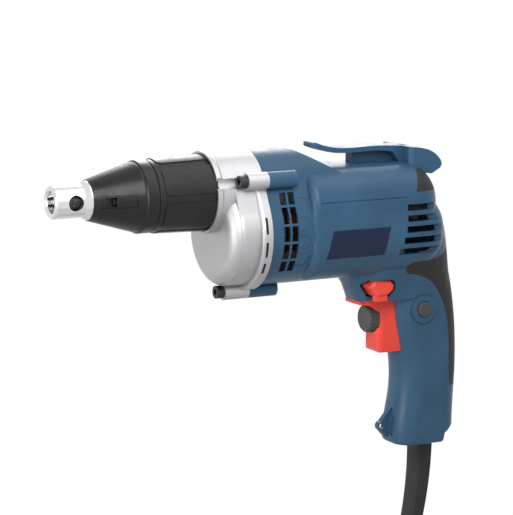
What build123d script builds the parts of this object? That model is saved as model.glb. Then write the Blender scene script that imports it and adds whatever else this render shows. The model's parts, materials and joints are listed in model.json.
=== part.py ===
"""Pistol-grip electric screwdriver with an adjustable depth stop, in millimetres.

The nose points along -X, +Z is up, and the origin is the middle of the hand grip.
"""
import math
import os

from build123d import *

os.makedirs("parts", exist_ok=True)

# Shaft axes and gears
spindle_z = 125.0
gear_module = 1.0
pinion_teeth = 9
gear_teeth = 45
pressure_angle = 20.0
profile_shift = 0.4
gear_backlash = 0.14
tip_relief = 0.15
gear_face = 7.0
motor_z = spindle_z - gear_module * (pinion_teeth + gear_teeth) / 2

# Clearances
running_gap = 0.05
seat_gap = 0.03
moving_gap = 0.3

# Stations along the tool, counted forward from the joint of the two housings
seam_x = -133.5
case_length = 31.5
sleeve_length = 40.4
cone_length = 40.6
nose_reach = 24.5
case_front_x = seam_x - case_length
sleeve_front_x = case_front_x - sleeve_length
cone_front_x = sleeve_front_x - cone_length
nose_tip_x = cone_front_x - nose_reach

# Nosepiece and depth stop cone
nose_radius = 10.6
nose_bore = 6.7
nose_bevel = 1.0
flare_radius = 12.6
flare_length = 4.5
nose_spigot_radius = 11.0
nose_spigot_length = 16.0
side_hole_radius = 5.0
side_hole_setback = 13.6
cone_mouth_radius = 13.1
cone_mid_radius = 20.4
cone_mid_length = 24.5
cone_shoulder_radius = 22.4
collar_radius = 23.4
collar_length = 8.2
collar_groove = 0.9
stop_tube_length = 26.0
stop_tube_wall = 2.75
window_length = 22.0
window_height = 8.2
window_start = 4.5
window_depth = 0.9
latch_length = 9.3
latch_height = 5.7
latch_start = 7.2
latch_depth = 2.0
latch_tab = 3.4

# Adjusting sleeve
sleeve_front_radius = 23.3
sleeve_rear_radius = 24.2
pad_count = 6
pad_width = 19.5
pad_rise = 0.7
pad_setback = 4.0
pad_corner = 3.5
sleeve_flange = 10.0

# Gear housing
tube_radius = 17.0
tube_length = 32.0
lobe_radius = 26.0
lip_length = 1.5
lip_wall = 1.5
drum_radius = 34.8
drum_setback = 5.0
drum_round = 9.0
web_setback = 11.0
flange_radius = 38.5
flange_length = 7.0
flange_round = 2.0
case_wall = 2.5
gear_bay_setback = 5.5
plate_setback = 17.0
plate_thickness = 7.0
spigot_length = 4.5
rim_slot_width = 1.7
rim_slot_x = seam_x - 4.0
rim_slots = ((-19.0, 10.4), (-34.4, 9.8), (-47.0, 7.0))

# Case screws: place across and above the motor axis, head end behind the sleeve's rear
case_screw_places = ((-28.0, 36.0, 17.0), (28.0, 36.0, 17.0), (0.0, -39.0, 14.0))
case_screw_radius = 2.4
case_head_radius = 4.2
case_head_length = 5.0
case_boss_radius = 5.6
case_boss_reach = 20.5
case_screw_length = 30.0

# Spindle, clutch and bearings
bit_across_flats = 6.45
socket_depth = 15.0
holder_radius = 6.2
holder_length = 37.0
holder_setback = 12.5
holder_bore = 4.0
holder_bore_depth = 13.8
spindle_radius = 6.0
spindle_rear_radius = 4.0
spindle_rear_reach = 21.0
clutch_flange_radius = 13.4
clutch_flange_length = 4.0
dog_height = 2.0
dog_inner = 9.6
dog_outer = 13.0
dog_count = 3
push_travel = 3.5
ball_bearing_radius = 14.0
ball_bearing_width = 8.0
ball_bearing_setback = 20.0
seal_length = 5.0
seal_radius = 10.9
bush_wall = 3.0
ring_section = 0.75
ring_groove = 1.4
ring_setback = 24.0
circlip_groove_radius = 5.2
circlip_width = 1.0
dog_width = 4.0
gear_hub_radius = 9.0
gear_web_radius = 18.0
gear_recess = 1.6
pinion_neck_radius = 3.6

# Motor
motor_bearing_radius = 14.0
shaft_radius = 6.0
rear_bearing_radius = 11.0
rear_journal_radius = 4.0
rear_bearing_width = 7.0
fan_radius = 30.0
fan_start = 1.5
fan_width = 12.0
fan_blades = 11
fan_blade = 1.4
fan_hub_radius = 10.0
stator_radius = 30.0
stator_ring = 5.5
stator_window = 24.0
coil_overhang = 6.0
stator_length = 42.0
stator_start = 24.5
air_gap = 0.5
core_radius = 17.2
core_slots = 12
winding_overhang = 7.0
commutator_radius = 11.0
commutator_length = 15.0
commutator_bars = 12
brush_width = 6.0
brush_depth = 8.0
brush_length = 12.0

# Motor housing
wall = 2.8
barrel_radius = 36.0
panel_start = 30.5
body_length = 100.6
body_width = 75.0
body_height = 73.6
body_lift = 3.2
body_corner = 25.0
stern_round = 22.0
bulge_reach = 6.4
bulge_length = 40.0
bulge_top_z = 119.0
bulge_step = 0.3
panel_round = 5.0
lobe_flat = 28.5
lobe_slope_length = 24.0
rib_thickness = 3.0
rear_seat_height = 40.0
shelf_thickness = 3.6
wire_hole = 8.0

# Hand grip and its flare into the body: height, front, rear, width and corner of each level
grip_levels = (
    (108.0, -22.0, -3.0, 26.0, 9.0),
    (81.0, -21.0, 12.5, 32.0, 14.0),
    (46.0, -28.0, 20.0, 37.6, 15.5),
    (11.0, -23.2, 23.8, 34.6, 15.0),
    (-17.0, -21.4, 23.4, 34.0, 15.0),
    (-47.0, -25.0, 21.0, 35.0, 13.0),
)
flare_levels = (
    (95.0, -64.0, 7.5, 70.0, 26.0),
    (78.0, -64.0, 11.6, 62.0, 24.0),
    (62.0, -60.0, 15.8, 48.0, 20.0),
    (46.0, -54.6, 19.5, 37.4, 15.5),
)
neck_bottom_z = 46.0
foot_bottom_z = -56.2
foot_round = 3.0
heel_x = 22.5
heel_z = -42.0
collar_rear_x = 10.0
collar_top_z = -49.5
collar_foot_x = 7.9
cavity_floor_z = -44.0
cavity_heel_x = 14.5
cavity_heel_z = -36.0
eye_x = -30.9
eye_z = -43.6
eye_radius = 3.2
eye_bore = 1.8
eye_width = 4.0
eye_root_width = 11.0

# Rubber inlay on the back of the grip
rubber_depth = 1.4
rubber_bottom_z = -17.0
rubber_top_z = 134.5
rubber_window_x = -26.4
rubber_window_top_x = -20.5
rubber_window_z = 121.0
rubber_far_x = 60.0
rubber_crest = ((10.5, 88.0), (0.4, 76.8), (-10.3, 74.0), (-23.5, 73.7))
rubber_lobe = (-28.0, 69.0)
rubber_flank = (
    (-24.5, 64.4),
    (-14.0, 62.0),
    (-3.4, 55.6),
    (5.3, 44.0),
    (11.0, 25.0),
    (14.2, rubber_bottom_z),
)

# Air vents
vent_x = seam_x + 14.7
vent_column = 4.6
vent_column_pitch = 6.0
vent_spans = ((-3.4, 7.8), (-13.95, 10.4), (-25.65, 10.0), (-37.2, 10.1), (-47.4, 7.2))
vent_reach = 30.0
vent_wall = 1.3
vent_field_x = (-130.0, -104.5)
vent_field_rises = (-8.0, -19.9, -31.4, -43.0)
vent_field_height = 9.3
vent_field_depth = 0.4
vent_field_corner = 4.4
rear_vent_pitch = 7.3
rear_vent_height = 4.4
rear_vent_fronts = (-33.5, -33.0, -33.5, -35.5, -38.5)
rear_vent_inner_y = 32.5
rear_vent_drop = 14.0

# Line cut along both sides of the body
side_line_x = (-97.5, -33.8)
side_line_z = 118.0
side_line_width = 0.7
side_line_y = 36.4

# Trigger group
trigger_width = 18.6
trigger_front_x = -39.2
trigger_ledge_x = -53.5
trigger_ledge = 3.0
trigger_bottom_z = 9.2
trigger_rear_x = -15.0
trigger_travel = 6.0
trigger_round = 4.0
trigger_gap = 0.5
trigger_flange = 1.8
trigger_catch = 1.0
dial_radius = 9.5
dial_width = 7.2
dial_front_x = -44.6
dial_z = 31.8
dial_pin_radius = 2.0
dial_pin_length = 6.0
dial_flutes = 20
lever_pivot_x = -13.0
lever_bottom_z = 49.8
lever_height = 7.4
lever_swing = 4.0
lever_half_width = 20.5
lever_arm = 9.0
lever_pin_radius = 2.5
lever_bar_x = (-47.5, -38.5)
paddle_inner_y = 15.0
paddle_profile = (
    (-53.9, 57.6),
    (-50.4, 60.6),
    (-37.9, 60.6),
    (-35.1, 57.2),
    (-35.9, 53.8),
    (-40.4, 50.4),
    (-48.9, 50.4),
)
paddle_chamfer = 1.2
lug_x = (-49.0, -40.0)
lug_inner_y = 14.6
lug_outer_y = 19.0
lug_bottom_z = 46.8
neck_floor_half = 11.3
lever_slot = (
    (-55.9, 57.8),
    (-52.2, 61.5),
    (-36.0, 61.5),
    (-33.0, 58.0),
    (-33.0, 53.0),
    (-36.8, 49.3),
    (-50.9, 49.3),
)
lever_notch_x = (-50.9, -37.9)
switch_front_x = -8.5
switch_rear_x = 12.5
switch_half_width = 10.0
switch_bottom_z = 7.0
switch_top_z = 52.0
plunger_radius = 3.0
plunger_length = 10.0
plunger_z = 25.0
tongue_half_width = 5.0
tongue_height = 2.8
lock_x = -9.3
lock_z = 38.5
lock_radius = 5.0
lock_ring_radius = 9.4
lock_ring_rise = 1.4
lock_stand = 1.6
lock_travel = 3.0
lock_catch = 1.0
lock_catch_length = 0.6

# Belt clip
clip_half_width = 8.0
clip_root_half_width = 19.0
clip_screw_radius = 2.0
clip_root_x = -20.0
clip_screw_x = -15.5
clip_screw_depth = 9.0
clip_screw_head_radius = 3.8
clip_screw_head = 2.2
clip_slots = (-9.0, -5.5, -2.0)
clip_web_x = (-55.0, -20.0)
clip_web_top_z = 146.5
clip_slot_width = 1.6
clip_tip = (-88.0, 152.0)
clip_top = (
    (-86.0, 153.7),
    (-73.0, 149.9),
    (-44.0, 149.4),
    (-21.0, 148.5),
    (-4.0, 144.9),
    (3.2, 138.2),
)
clip_root = (
    (3.2, 138.2),
    (4.0, 135.8),
    (2.6, 133.6),
    (-4.0, 130.0),
    (-22.0, 132.0),
    (-23.0, 138.0),
    (-28.0, 144.7),
)
clip_underside = ((-28.0, 144.7), (-59.0, 145.8), (-73.0, 146.4), (-86.0, 150.1))

# Clamshell screws: place, and how far out the head's seat lies
shell_screws = (
    (-86.0, 132.0, 24.5),
    (-38.0, 132.0, 24.5),
    (-54.0, 70.5, 26.0),
    (-10.5, -7.0, 12.5),
    (12.0, -28.0, 10.5),
)
shell_screw_radius = 1.75
shell_head_radius = 3.3
shell_head_length = 2.4
shell_boss_radius = 3.8
shell_screw_inset = 8.0

# Cord, boot, coil and plug
cord_radius = 4.0
boot_x = 0.4
boot_top = (11.4, 16.8)
boot_end = (9.6, 15.0)
boot_length = 58.0
boot_bend = 265.0
boot_corner = 2.0
boot_neck_radius = 5.0
boot_flange = 3.0
boot_shoulder = 3.6
lead_run = 34.0
coil_pitch = 8.7
coil_inner = 36.0
coil_layers = 4
turns_per_layer = 2
tail_length = 40.0
tie_width = 9.0
tie_thickness = 1.6
plug_pin_radius = 2.4
plug_pin_spacing = 19.0
plug_pin_length = 19.0
plug_length = 44.0
plug_levels = (
    (0.0, 12.0, 12.0, 5.5),
    (0.35, 20.0, 14.0, 6.0),
    (0.65, 36.0, 17.0, 8.0),
    (1.0, 36.0, 17.0, 8.0),
)
clamp_z = -39.5
clamp_bolt_reach = 10.0
clamp_boss_radius = 3.2
clamp_screw_radius = 1.4
clamp_screw_reach = 9.0
clamp_depth = 7.0
clamp_height = 7.0


def turn(profile, height, mode=Mode.ADD):
    """Revolve (x, radius) corners about the line along X at the given height."""
    with BuildSketch(Plane.XZ) as section:
        with BuildLine():
            Polyline(*[(x, height + radius) for x, radius in profile], close=True)
        make_face()
    revolve(section.sketch, axis=Axis((0, 0, height), (1, 0, 0)), mode=mode)


def rod(start_x, end_x, radius, y, z, mode=Mode.ADD):
    """Round bar along X."""
    with BuildSketch(Plane.YZ.offset(start_x)) as section:
        with Locations((y, z)):
            Circle(radius)
    extrude(section.sketch, amount=end_x - start_x, mode=mode)


def cross_rod(x, z, start_y, end_y, radius, mode=Mode.ADD):
    """Round bar along Y."""
    with BuildSketch(Plane.XZ.offset(-start_y)) as section:
        with Locations((x, z)):
            Circle(radius)
    extrude(section.sketch, amount=start_y - end_y, mode=mode)


def block(low, high, mode=Mode.ADD):
    """Box between two corners."""
    size = [b - a for a, b in zip(low, high)]
    middle = [(a + b) / 2 for a, b in zip(low, high)]
    with Locations(tuple(middle)):
        Box(*size, mode=mode)


def slab(outline, half_width, mode=Mode.ADD):
    """Side outline of (x, z) corners, as thick to the left as to the right."""
    with BuildSketch(Plane.XZ) as section:
        with BuildLine():
            Polyline(*outline, close=True)
        make_face()
    extrude(section.sketch, amount=half_width, both=True, mode=mode)


def twin_hull(start_x, end_x, upper_radius, lower_radius, mode=Mode.ADD):
    """Egg-shaped bar round the spindle axis above and the motor axis below."""
    with BuildSketch(Plane.YZ.offset(start_x)) as section:
        with Locations((0, spindle_z)):
            Circle(upper_radius)
        with Locations((0, motor_z)):
            Circle(lower_radius)
        make_hull()
    extrude(section.sketch, amount=end_x - start_x, mode=mode)


def tooth_flank(teeth, shift, tip, root):
    """Half a tooth as (radius, half angle in radians), from the root up to the tip."""
    slope = math.radians(pressure_angle)
    pitch = gear_module * teeth / 2
    base = pitch * math.cos(slope)
    thickness = gear_module * (math.pi / 2 + 2 * shift * math.tan(slope)) - gear_backlash
    half_at_pitch = thickness / (2 * pitch)
    flank = [(root, half_at_pitch + math.tan(slope) - slope)]
    start = max(base, root)
    for step in range(4):
        radius = start + (tip - start) * step / 3
        roll = math.acos(min(1.0, base / radius))
        flank.append((radius, half_at_pitch + math.tan(slope) - slope - math.tan(roll) + roll))
    return flank


def spur_gear(start_x, teeth, shift, axis_z, first_angle):
    """Toothed bar along X; first_angle, in degrees from +Y, is the middle of a tooth."""
    pitch = gear_module * teeth / 2
    tip = pitch + gear_module * (1 + shift) - tip_relief
    root = pitch - gear_module * (1.25 - shift)
    flank = tooth_flank(teeth, shift, tip, root)
    outline = []
    for tooth in range(teeth):
        middle = math.radians(first_angle + tooth * 360 / teeth)
        rising = [(radius, middle - half) for radius, half in flank]
        falling = [(radius, middle + half) for radius, half in reversed(flank)]
        for radius, angle in rising + falling:
            outline.append((radius * math.cos(angle), axis_z + radius * math.sin(angle)))
    with BuildSketch(Plane.YZ.offset(start_x)) as section:
        with BuildLine():
            Polyline(*outline, close=True)
        make_face()
    extrude(section.sketch, amount=gear_face)


def level_loft(levels, inset):
    """Loft through rounded levels of (height, front, rear, width, corner), drawn in by the inset."""
    with BuildPart() as form:
        for height, front, rear, width, corner in levels:
            with BuildSketch(Plane.XY.offset(height)):
                with Locations(((front + rear) / 2, 0)):
                    RectangleRounded(rear - front - 2 * inset, width - 2 * inset, corner - inset)
        loft()
    return form.part


panel_x = seam_x + panel_start
body_rear_x = panel_x + body_length
body_mid_z = motor_z + body_lift
body_top_z = body_mid_z + body_height / 2
body_bottom_z = body_mid_z - body_height / 2
bulge_rear_x = body_rear_x + bulge_reach


def body_form(inset):
    """Broad motor body with a rounded stern."""
    with BuildPart() as form:
        with BuildSketch(Plane.YZ.offset(panel_x + inset)):
            with Locations((0, body_mid_z)):
                RectangleRounded(body_width - 2 * inset, body_height - 2 * inset, body_corner - inset)
        extrude(amount=body_length - 2 * inset)
        fillet(form.faces().sort_by(Axis.X)[-1].edges(), stern_round - inset)
        fillet(form.faces().sort_by(Axis.X)[0].edges(), panel_round)
    return form.part


def bulge_form(inset):
    """Lower bulge of the stern, which holds the rear air vents."""
    low_z = body_bottom_z + bulge_step
    with BuildPart() as form:
        with BuildSketch(Plane.YZ.offset(bulge_rear_x - inset)):
            with Locations((0, (low_z + bulge_top_z) / 2)):
                RectangleRounded(
                    body_width - 2 * bulge_step - 2 * inset,
                    bulge_top_z - low_z - 2 * inset,
                    body_corner - inset,
                )
        extrude(amount=-bulge_length)
        fillet(form.faces().sort_by(Axis.X)[-1].edges(), stern_round - inset)
    return form.part


lobe_end_x = seam_x + lobe_flat + 1.7 * lobe_slope_length


def barrel_form(inset):
    """Egg-shaped front barrel whose upper lobe slopes down into the body."""
    crest_x = seam_x + lobe_flat
    crest_z = spindle_z + lobe_radius - inset
    fall = (spindle_z + lobe_radius - body_top_z) / lobe_slope_length
    low_z = crest_z - fall * (lobe_end_x - crest_x)
    slope = ((crest_x, crest_z), (lobe_end_x, low_z), (lobe_end_x, crest_z + 1), (crest_x, crest_z + 1))
    with BuildPart() as form:
        twin_hull(seam_x, lobe_end_x, lobe_radius - inset, barrel_radius - inset)
        slab(slope, body_width, Mode.SUBTRACT)
    return form.part


def housing_form(inset):
    """Whole motor housing with neck and grip, drawn in all round by the inset."""
    with BuildPart() as form:
        add(body_form(inset))
        add(bulge_form(inset))
        add(barrel_form(inset))
        add(level_loft(flare_levels, inset))
        add(level_loft(grip_levels, inset))
    return form.part


outer_form = housing_form(0)
inner_form = housing_form(wall)
inlay_form = housing_form(rubber_depth)

# Nosepiece
nose_spigot_end_x = cone_front_x + nose_spigot_length
with BuildPart() as nosepiece:
    turn(
        (
            (nose_tip_x, nose_bore + nose_bevel),
            (nose_tip_x, nose_radius - nose_bevel),
            (nose_tip_x + nose_bevel, nose_radius),
            (cone_front_x - flare_length, nose_radius),
            (cone_front_x - 1, flare_radius),
            (cone_front_x, flare_radius),
            (cone_front_x, nose_spigot_radius),
            (nose_spigot_end_x, nose_spigot_radius),
            (nose_spigot_end_x, nose_bore),
            (nose_tip_x + nose_bevel, nose_bore),
        ),
        spindle_z,
    )
    side_hole_x = nose_tip_x + side_hole_setback
    cross_rod(side_hole_x, spindle_z, -flare_radius, flare_radius, side_hole_radius, Mode.SUBTRACT)
nosepiece.part.label = "nosepiece"
export_step(nosepiece.part, "parts/nosepiece.step")

# Depth stop cone with the tube that slides in the sleeve
stop_bore = tube_radius + moving_gap + 0.15
stop_tube_radius = stop_bore + stop_tube_wall
cone_mid_x = cone_front_x + cone_mid_length
collar_x = sleeve_front_x - moving_gap - collar_length
cone_rear_x = sleeve_front_x - moving_gap
stop_tube_end_x = cone_rear_x + stop_tube_length
cone_taper = (cone_mid_radius - cone_mouth_radius) / cone_mid_length


def cone_radius(x):
    """Radius of the straight part of the cone at x."""
    return cone_mouth_radius + cone_taper * (x - cone_front_x)


window_x = cone_front_x + window_start
latch_x = cone_front_x + latch_start
with BuildPart() as window_band:
    window_end_x = window_x + window_length
    turn(
        (
            (window_x, cone_radius(window_x) - window_depth),
            (window_end_x, cone_radius(window_end_x) - window_depth),
            (window_end_x, collar_radius + 5),
            (window_x, collar_radius + 5),
        ),
        spindle_z,
    )
    block(
        (window_x, -2 * collar_radius, spindle_z - window_height / 2),
        (window_end_x, 0, spindle_z + window_height / 2),
        Mode.INTERSECT,
    )
with BuildPart() as nose_cone:
    with BuildSketch(Plane.XZ):
        with BuildLine():
            mouth = (cone_front_x, spindle_z + cone_mouth_radius)
            middle = (cone_mid_x, spindle_z + cone_mid_radius)
            Line(mouth, middle)
            shoulder = (collar_x - collar_groove, spindle_z + cone_shoulder_radius)
            TangentArc(middle, shoulder, tangent=(1, cone_taper))
            Polyline(
                shoulder,
                (collar_x, spindle_z + cone_shoulder_radius),
                (collar_x + collar_groove, spindle_z + collar_radius),
                (cone_rear_x, spindle_z + collar_radius),
                (cone_rear_x, spindle_z + stop_tube_radius),
                (stop_tube_end_x, spindle_z + stop_tube_radius),
                (stop_tube_end_x, spindle_z + stop_bore),
                (cone_rear_x - 6, spindle_z + stop_bore),
                (nose_spigot_end_x + 3, spindle_z + nose_bore + 2.3),
                (nose_spigot_end_x + seat_gap, spindle_z + nose_bore + 2.3),
                (nose_spigot_end_x + seat_gap, spindle_z + nose_spigot_radius + seat_gap),
                (cone_front_x, spindle_z + nose_spigot_radius + seat_gap),
                mouth,
            )
        make_face()
    revolve(axis=Axis((0, 0, spindle_z), (1, 0, 0)))
    add(window_band.part, mode=Mode.SUBTRACT)
    latch_y = -cone_radius(latch_x) - 1
    block(
        (latch_x, latch_y, spindle_z - latch_height / 2),
        (latch_x + latch_length, latch_y + latch_depth + 1.5, spindle_z + latch_height / 2),
        Mode.SUBTRACT,
    )
    tab_x = latch_x + latch_length - latch_tab - 1
    block(
        (tab_x, latch_y + 1.2, spindle_z - latch_tab / 2),
        (tab_x + latch_tab, latch_y + latch_depth + 2, spindle_z + latch_tab / 2),
    )
nose_cone.part.label = "nose_cone"
export_step(nose_cone.part, "parts/nose_cone.step")

# Adjusting sleeve with raised grip pads
sleeve_bore = stop_tube_radius + moving_gap
sleeve_rear_x = case_front_x - moving_gap
sleeve_flange_x = sleeve_rear_x - sleeve_flange
pad_reach = sleeve_rear_x - sleeve_front_x
pad_start = (sleeve_front_x + pad_setback, 0, spindle_z)
with BuildPart() as pad_fields:
    for pad in range(pad_count):
        out = math.radians(360 * (pad + 0.5) / pad_count)
        facing = Plane(origin=pad_start, x_dir=(1, 0, 0), z_dir=(0, math.cos(out), math.sin(out)))
        with BuildSketch(facing):
            with Locations((pad_reach / 2, 0)):
                RectangleRounded(pad_reach, pad_width, pad_corner)
        extrude(amount=sleeve_rear_radius + 5)
with BuildPart() as sleeve_pads:
    turn(
        (
            (sleeve_front_x + pad_setback, sleeve_bore + 1),
            (sleeve_front_x + pad_setback, sleeve_front_radius + pad_rise),
            (sleeve_rear_x, sleeve_rear_radius + pad_rise),
            (sleeve_rear_x, sleeve_bore + 1),
        ),
        spindle_z,
    )
    add(pad_fields.part, mode=Mode.INTERSECT)
with BuildPart() as adjusting_sleeve:
    turn(
        (
            (sleeve_front_x, sleeve_bore),
            (sleeve_front_x, sleeve_front_radius - 0.8),
            (sleeve_front_x + 0.8, sleeve_front_radius),
            (sleeve_rear_x, sleeve_rear_radius),
            (sleeve_rear_x, tube_radius + running_gap),
            (sleeve_flange_x, tube_radius + running_gap),
            (sleeve_flange_x, sleeve_bore),
        ),
        spindle_z,
    )
    add(sleeve_pads.part)
adjusting_sleeve.part.label = "adjusting_sleeve"
export_step(adjusting_sleeve.part, "parts/adjusting_sleeve.step")

# Gear housing
drum_front_x = case_front_x + drum_setback
plate_x = case_front_x + plate_setback
bay_front_x = case_front_x + gear_bay_setback
bay_radius = lobe_radius - case_wall
fan_bay_radius = barrel_radius - wall - 1.4
lip_radius = sleeve_rear_radius + pad_rise + moving_gap
bearing_bore = ball_bearing_radius + running_gap
seal_x = case_front_x - tube_length + 1
with BuildPart() as drum:
    rod(drum_front_x, seam_x, drum_radius, 0, motor_z)
    fillet(drum.faces().sort_by(Axis.X)[0].edges(), drum_round)
with BuildPart() as flange:
    twin_hull(seam_x - flange_length, seam_x, lobe_radius, flange_radius)
    fillet(flange.faces().sort_by(Axis.X)[0].edges(), flange_round)
with BuildPart() as gear_housing:
    turn(
        (
            (case_front_x - tube_length, seal_radius - 1.5),
            (case_front_x - tube_length, tube_radius - 1),
            (case_front_x - tube_length + 1, tube_radius),
            (case_front_x, tube_radius),
            (case_front_x, lip_radius),
            (case_front_x - lip_length, lip_radius),
            (case_front_x - lip_length, lip_radius + lip_wall),
            (case_front_x + lip_length, lip_radius + lip_wall),
            (case_front_x + 2 * lip_length, lobe_radius),
            (seam_x, lobe_radius),
            (seam_x, seal_radius - 1.5),
        ),
        spindle_z,
    )
    add(drum.part)
    twin_hull(case_front_x + web_setback, seam_x, lobe_radius - 0.4, drum_radius - 0.3)
    add(flange.part)
    for y, rise, head in case_screw_places:
        rod(case_front_x + head, seam_x, case_boss_radius, y, motor_z + rise)
    turn(
        (
            (seam_x, fan_bay_radius),
            (seam_x, barrel_radius - wall - seat_gap),
            (seam_x + spigot_length, barrel_radius - wall - seat_gap),
            (seam_x + spigot_length, fan_bay_radius),
        ),
        motor_z,
    )
    rod(seal_x, bay_front_x, seal_radius + seat_gap, 0, spindle_z, Mode.SUBTRACT)
    rod(seal_x + seal_length + 2, bay_front_x + 1, bearing_bore, 0, spindle_z, Mode.SUBTRACT)
    rod(bay_front_x, seam_x + 1, bay_radius, 0, spindle_z, Mode.SUBTRACT)
    rod(bay_front_x + 1.5, seam_x, 8.0, 0, motor_z, Mode.SUBTRACT)
    twin_hull(plate_x, seam_x + 1, bay_radius, fan_bay_radius, Mode.SUBTRACT)
    for y, rise, head in case_screw_places:
        screw_z = motor_z + rise
        rod(case_front_x - 5, case_front_x + head, case_head_radius + 0.9, y, screw_z, Mode.SUBTRACT)
        rod(case_front_x, seam_x + 1, case_screw_radius + seat_gap, y, screw_z, Mode.SUBTRACT)
    for rise, span in rim_slots:
        for side in (-1, 1):
            with Locations((rim_slot_x, side * flange_radius, spindle_z + rise)):
                Box(rim_slot_width, flange_radius, span, mode=Mode.SUBTRACT)
    ring_x = case_front_x - ring_setback
    turn(
        (
            (ring_x - 1.2, tube_radius - ring_groove),
            (ring_x - 1.2, tube_radius + 1),
            (ring_x + 1.2, tube_radius + 1),
            (ring_x + 1.2, tube_radius - ring_groove),
        ),
        spindle_z,
        Mode.SUBTRACT,
    )
gear_housing.part.label = "gear_housing"
export_step(gear_housing.part, "parts/gear_housing.step")

# Rubber ring in the tube's groove, which steadies the depth stop
with BuildPart() as stop_ring:
    with BuildSketch(Plane.XZ):
        with Locations((ring_x, spindle_z + tube_radius - ring_groove + ring_section + seat_gap)):
            Circle(ring_section)
    revolve(axis=Axis((0, 0, spindle_z), (1, 0, 0)))
stop_ring.part.label = "stop_ring"
export_step(stop_ring.part, "parts/stop_ring.step")

# Cap screws that join the two housings
with BuildPart() as case_screws:
    for y, rise, head in case_screw_places:
        seat_x = case_front_x + head
        rod(seat_x - case_head_length, seat_x, case_head_radius, y, motor_z + rise)
        rod(seat_x, seat_x + case_screw_length, case_screw_radius, y, motor_z + rise)
        with BuildSketch(Plane.YZ.offset(seat_x - case_head_length)):
            with Locations((y, motor_z + rise)):
                RegularPolygon(case_head_radius / 2, 6)
        extrude(amount=case_head_length / 2, mode=Mode.SUBTRACT)
case_screws.part.label = "gear_housing_screws"
export_step(case_screws.part, "parts/gear_housing_screws.step")

# Bit holder with a hexagon socket
holder_x = nose_tip_x + holder_setback
holder_end_x = holder_x + holder_length
with BuildPart() as bit_holder:
    turn(
        (
            (holder_x, 0),
            (holder_x, holder_radius - 0.6),
            (holder_x + 0.6, holder_radius),
            (holder_x + 8, holder_radius),
            (holder_x + 8, holder_radius - 0.8),
            (holder_x + 9.4, holder_radius - 0.8),
            (holder_x + 9.4, holder_radius),
            (holder_end_x, holder_radius),
            (holder_end_x, holder_bore),
            (holder_end_x - holder_bore_depth, holder_bore),
            (holder_end_x - holder_bore_depth, 0),
        ),
        spindle_z,
    )
    with BuildSketch(Plane.YZ.offset(holder_x)):
        with Locations((0, spindle_z)):
            RegularPolygon(bit_across_flats / 2, 6, major_radius=False)
    extrude(amount=socket_depth, mode=Mode.SUBTRACT)
bit_holder.part.label = "bit_holder"
export_step(bit_holder.part, "parts/bit_holder.step")

# Spindle with the driven half of the clutch
shoulder_x = case_front_x - ball_bearing_setback + ball_bearing_width + moving_gap
clutch_x = case_front_x - clutch_flange_length / 2
clutch_rear_x = clutch_x + clutch_flange_length
clip_x = case_front_x - ball_bearing_setback - moving_gap - circlip_width
gear_x = clutch_rear_x + dog_height + push_travel + moving_gap + dog_height - 1.6
journal_end_x = plate_x - push_travel - moving_gap
with BuildPart() as spindle:
    turn(
        (
            (holder_end_x - holder_bore_depth + 0.3, 0),
            (holder_end_x - holder_bore_depth + 0.3, holder_bore - seat_gap),
            (holder_end_x, holder_bore - seat_gap),
            (holder_end_x, spindle_radius),
            (clip_x - seat_gap, spindle_radius),
            (clip_x - seat_gap, circlip_groove_radius),
            (clip_x + circlip_width + seat_gap, circlip_groove_radius),
            (clip_x + circlip_width + seat_gap, spindle_radius),
            (shoulder_x, spindle_radius),
            (shoulder_x, spindle_radius + 2),
            (clutch_x, spindle_radius + 2),
            (clutch_x, clutch_flange_radius),
            (clutch_rear_x, clutch_flange_radius),
            (clutch_rear_x, spindle_radius),
            (journal_end_x, spindle_radius),
            (journal_end_x, spindle_rear_radius),
            (case_front_x + spindle_rear_reach, spindle_rear_radius),
            (case_front_x + spindle_rear_reach, 0),
        ),
        spindle_z,
    )
    with BuildSketch(Plane.YZ.offset(clutch_rear_x)):
        with Locations((0, spindle_z)):
            with PolarLocations((dog_inner + dog_outer) / 2, dog_count):
                Rectangle(dog_outer - dog_inner, dog_width)
    extrude(amount=dog_height)
spindle.part.label = "spindle"
export_step(spindle.part, "parts/spindle.step")

# Snap ring ahead of the spindle's ball bearing
with BuildPart() as spindle_circlip:
    turn(
        (
            (clip_x, circlip_groove_radius + seat_gap),
            (clip_x, spindle_radius + 1.6),
            (clip_x + circlip_width, spindle_radius + 1.6),
            (clip_x + circlip_width, circlip_groove_radius + seat_gap),
        ),
        spindle_z,
    )
    block(
        (clip_x - 1, -1.5, spindle_z + circlip_groove_radius - 1),
        (clip_x + circlip_width + 1, 1.5, spindle_z + 2 * spindle_radius),
        Mode.SUBTRACT,
    )
spindle_circlip.part.label = "spindle_circlip"
export_step(spindle_circlip.part, "parts/spindle_circlip.step")


def bearing(start_x, width, inner, outer, height):
    """Shielded ball bearing drawn as one ring with recessed shields."""
    shield_low = inner + (outer - inner) * 0.28
    shield_high = outer - (outer - inner) * 0.28
    turn(
        (
            (start_x, inner),
            (start_x, shield_low),
            (start_x + 0.5, shield_low),
            (start_x + 0.5, shield_high),
            (start_x, shield_high),
            (start_x, outer),
            (start_x + width, outer),
            (start_x + width, shield_high),
            (start_x + width - 0.5, shield_high),
            (start_x + width - 0.5, shield_low),
            (start_x + width, shield_low),
            (start_x + width, inner),
        ),
        height,
    )


# Ball bearing that slides with the spindle in the nose tube
ball_x = case_front_x - ball_bearing_setback
with BuildPart() as spindle_bearing:
    bearing(ball_x, ball_bearing_width, spindle_radius + running_gap, ball_bearing_radius, spindle_z)
spindle_bearing.part.label = "spindle_bearing"
export_step(spindle_bearing.part, "parts/spindle_bearing.step")

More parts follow.
